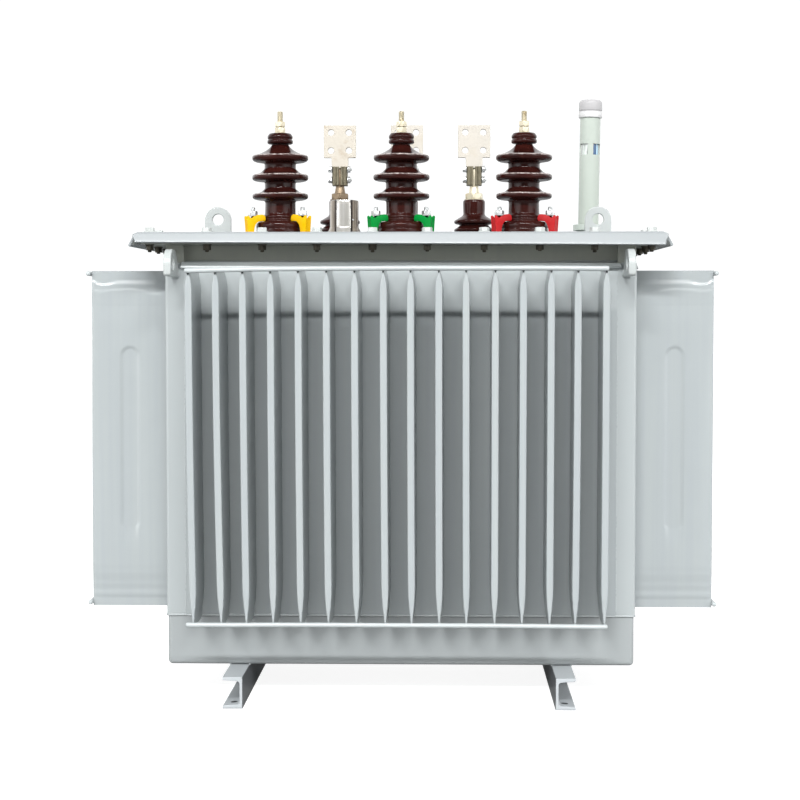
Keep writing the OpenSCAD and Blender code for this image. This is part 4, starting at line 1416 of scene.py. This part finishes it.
# cap: ribbed band below a plain crown
vs, fs = [], []
N = 144
prof = [(0, 1219.5, 0), (25.4, 1219.5, 0), (26.0, 1220.2, 1), (26.0, 1231.6, 1), (25.4, 1232.4, 0), (24.7, 1233.0, 0), (24.7, 1234.6, 0),
        (25.4, 1235.2, 0), (25.7, 1237, 0), (25.6, 1249, 0), (25.2, 1253, 0), (24.0, 1256, 0), (21.6, 1257.8, 0), (18, 1258.5, 0), (0, 1258.5, 0)]
rings = []
for r, z, rib in prof:
    if r == 0:
        rings.append([len(vs)])
        vs.append((GX, GY, z))
        continue
    ring = []
    for i in range(N):
        a = 2 * PI * i / N
        front = abs((a + PI / 2 + PI) % (2 * PI) - PI) < 0.62
        rr = r - (0.55 if rib and i % 3 == 0 and not front else 0.0)
        ring.append(len(vs))
        vs.append((GX + rr * math.cos(a), GY + rr * math.sin(a), z))
    rings.append(ring)
for a, b in zip(rings, rings[1:]):
    for i in range(N):
        j = (i + 1) % N
        if len(a) == 1:
            fs.append((a[0], b[j], b[i]))
        elif len(b) == 1:
            fs.append((a[i], a[j], b[0]))
        else:
            fs.append((a[i], a[j], b[j], b[i]))
make("gauge_cap_shell", [leaning(p) for p in vs], fs, "cap", "gauge_cap_paint", replaces=("gauge_cap",), sharp=40)

# ----------------------------------------------------------------------------
# camera, floor, light
# ----------------------------------------------------------------------------
cam_data = bpy.data.cameras.new("camera")
cam_data.lens = 79.5
cam_data.sensor_width = 36.0
cam_data.clip_end = 200.0
cam = bpy.data.objects.new("camera", cam_data)
bpy.context.scene.collection.objects.link(cam)
cam.location = (0.0872, -3.8371, 0.7649)
yaw, pitch = 0.0244, 0.0436
fwd = Vector((-math.sin(yaw) * math.cos(pitch), math.cos(yaw) * math.cos(pitch), -math.sin(pitch)))
cam.rotation_euler = fwd.to_track_quat("-Z", "Y").to_euler()
bpy.context.scene.camera = cam

me = bpy.data.meshes.new("floor")
s = 400.0
me.from_pydata([(-s, -s, 0), (s, -s, 0), (s, s, 0), (-s, s, 0)], [], [(0, 1, 2, 3)])
floor = bpy.data.objects.new("floor", me)
bpy.context.scene.collection.objects.link(floor)
g = Graph("pale_floor")
fc = g.mix(g.remap(g.noise(1.5, 3.0), 0.3, 0.7, 0.0, 1.0), (0.29, 0.29, 0.29), (0.31, 0.31, 0.31))
seen = g.nt.nodes.new("ShaderNodeLightPath").outputs["Is Camera Ray"]
me.materials.append(g.set(Base_Color=fc, Roughness=0.7, Specular_IOR_Level=0.2,
                          Emission_Color=(1.0, 1.0, 1.0), Emission_Strength=g.math("MULTIPLY", seen, 0.9)))

# soft studio surround: a sum of broad soft patches, each given by its bearing round the object and its height
world = bpy.data.worlds.new("studio")
bpy.context.scene.world = world
world.use_nodes = True
wn = world.node_tree
bg = wn.nodes["Background"]
tcw = wn.nodes.new("ShaderNodeTexCoord")
sep = wn.nodes.new("ShaderNodeSeparateXYZ")
wn.links.new(tcw.outputs["Generated"], sep.inputs[0])


def wmath(op, a, b=None, clamp=False):
    n = wn.nodes.new("ShaderNodeMath")
    n.operation = op
    n.use_clamp = clamp
    for v, sck in ((a, n.inputs[0]), (b, n.inputs[1])):
        if v is None:
            continue
        if isinstance(v, (int, float)):
            sck.default_value = v
        else:
            wn.links.new(v, sck)
    return n.outputs[0]


def wstep(v, a, b):
    n = wn.nodes.new("ShaderNodeMapRange")
    n.interpolation_type = "SMOOTHSTEP"
    n.inputs["From Min"].default_value = a
    n.inputs["From Max"].default_value = b
    wn.links.new(v, n.inputs["Value"])
    return n.outputs["Result"]


bearing = wmath("ARCTAN2", sep.outputs[0], wmath("MULTIPLY", sep.outputs[1], -1.0))     # 0 towards the camera, + to the right
height = wmath("ARCSINE", sep.outputs[2], None)
DEG = PI / 180
EDGES = (-150, -100, -65, -28, 28, 65, 100, 150)       # soft boundaries between neighbouring bearings
LEVELS = (22, 52)                                      # and between heights
up_steps = [wstep(height, (e - 9) * DEG, (e + 9) * DEG) for e in LEVELS]
side_steps = [wstep(bearing, (e - 10) * DEG, (e + 10) * DEG) for e in EDGES]
below = wmath("SUBTRACT", 1.0, up_steps[0])
middle = wmath("SUBTRACT", up_steps[0], up_steps[1])
patches = {}
for i in range(len(EDGES) - 1):
    band = wmath("SUBTRACT", side_steps[i], side_steps[i + 1])
    patches[(i, "low")] = wmath("MULTIPLY", band, below)
    patches[(i, "mid")] = wmath("MULTIPLY", band, middle)
behind = wmath("ADD", wmath("SUBTRACT", 1.0, side_steps[0]), side_steps[-1])
patches[("back", "low")] = wmath("MULTIPLY", behind, below)
patches[("back", "mid")] = wmath("MULTIPLY", behind, middle)
patches[("top", "top")] = up_steps[1]
STRENGTH = {
    (0, "low"): 2.2, (1, "low"): 1.9, (2, "low"): 3.6, (3, "low"): 0.3, (4, "low"): 3.3, (5, "low"): 1.9, (6, "low"): 2.2,
    (0, "mid"): 2.0, (6, "mid"): 2.0, ("back", "low"): 1.08, ("back", "mid"): 1.5, ("top", "top"): 0.3,
}
total = None
for key, strength in STRENGTH.items():
    term = wmath("MULTIPLY", patches[key], strength)
    total = term if total is None else wmath("ADD", total, term)
wn.links.new(total, bg.inputs[1])
bg.inputs[0].default_value = (0.985, 0.995, 1.0, 1)


def area_light(name, loc, target, size, power, color=(1, 1, 1)):
    ld = bpy.data.lights.new(name, "AREA")
    ld.shape = "RECTANGLE"
    ld.size, ld.size_y = size
    ld.energy = power
    ld.color = color
    lo = bpy.data.objects.new(name, ld)
    bpy.context.scene.collection.objects.link(lo)
    lo.location = loc
    d = Vector(target) - Vector(loc)
    lo.rotation_euler = d.to_track_quat("-Z", "Y").to_euler()
    return lo


# a long soft strip far above and behind the camera, in three lengths, and a tall strip at each side
FAR = 12.0
for name, x, length, power in (("key_left", -0.80, 1.25, 124), ("key_middle", 0.34, 1.0, 62), ("key_right", 1.40, 1.07, 66)):
    area_light(name, (x * FAR, -0.24 - 3.6 * FAR, 0.779 + 3.6 * FAR * 0.68), (0, -0.24, 0.6), (length * FAR, 0.16 * FAR), power * FAR * FAR)
for name, sx, power in (("side_strip_left", -1, 33), ("side_strip_right", 1, 26)):
    area_light(name, (sx * 2.576 * FAR, -0.24 - 2.402 * FAR, 0.75 + 2.287 * FAR), (0, -0.24, 0.6), (0.22 * FAR, 2.4 * FAR), power * FAR * FAR)
bpy.context.scene.view_settings.view_transform = "Standard"
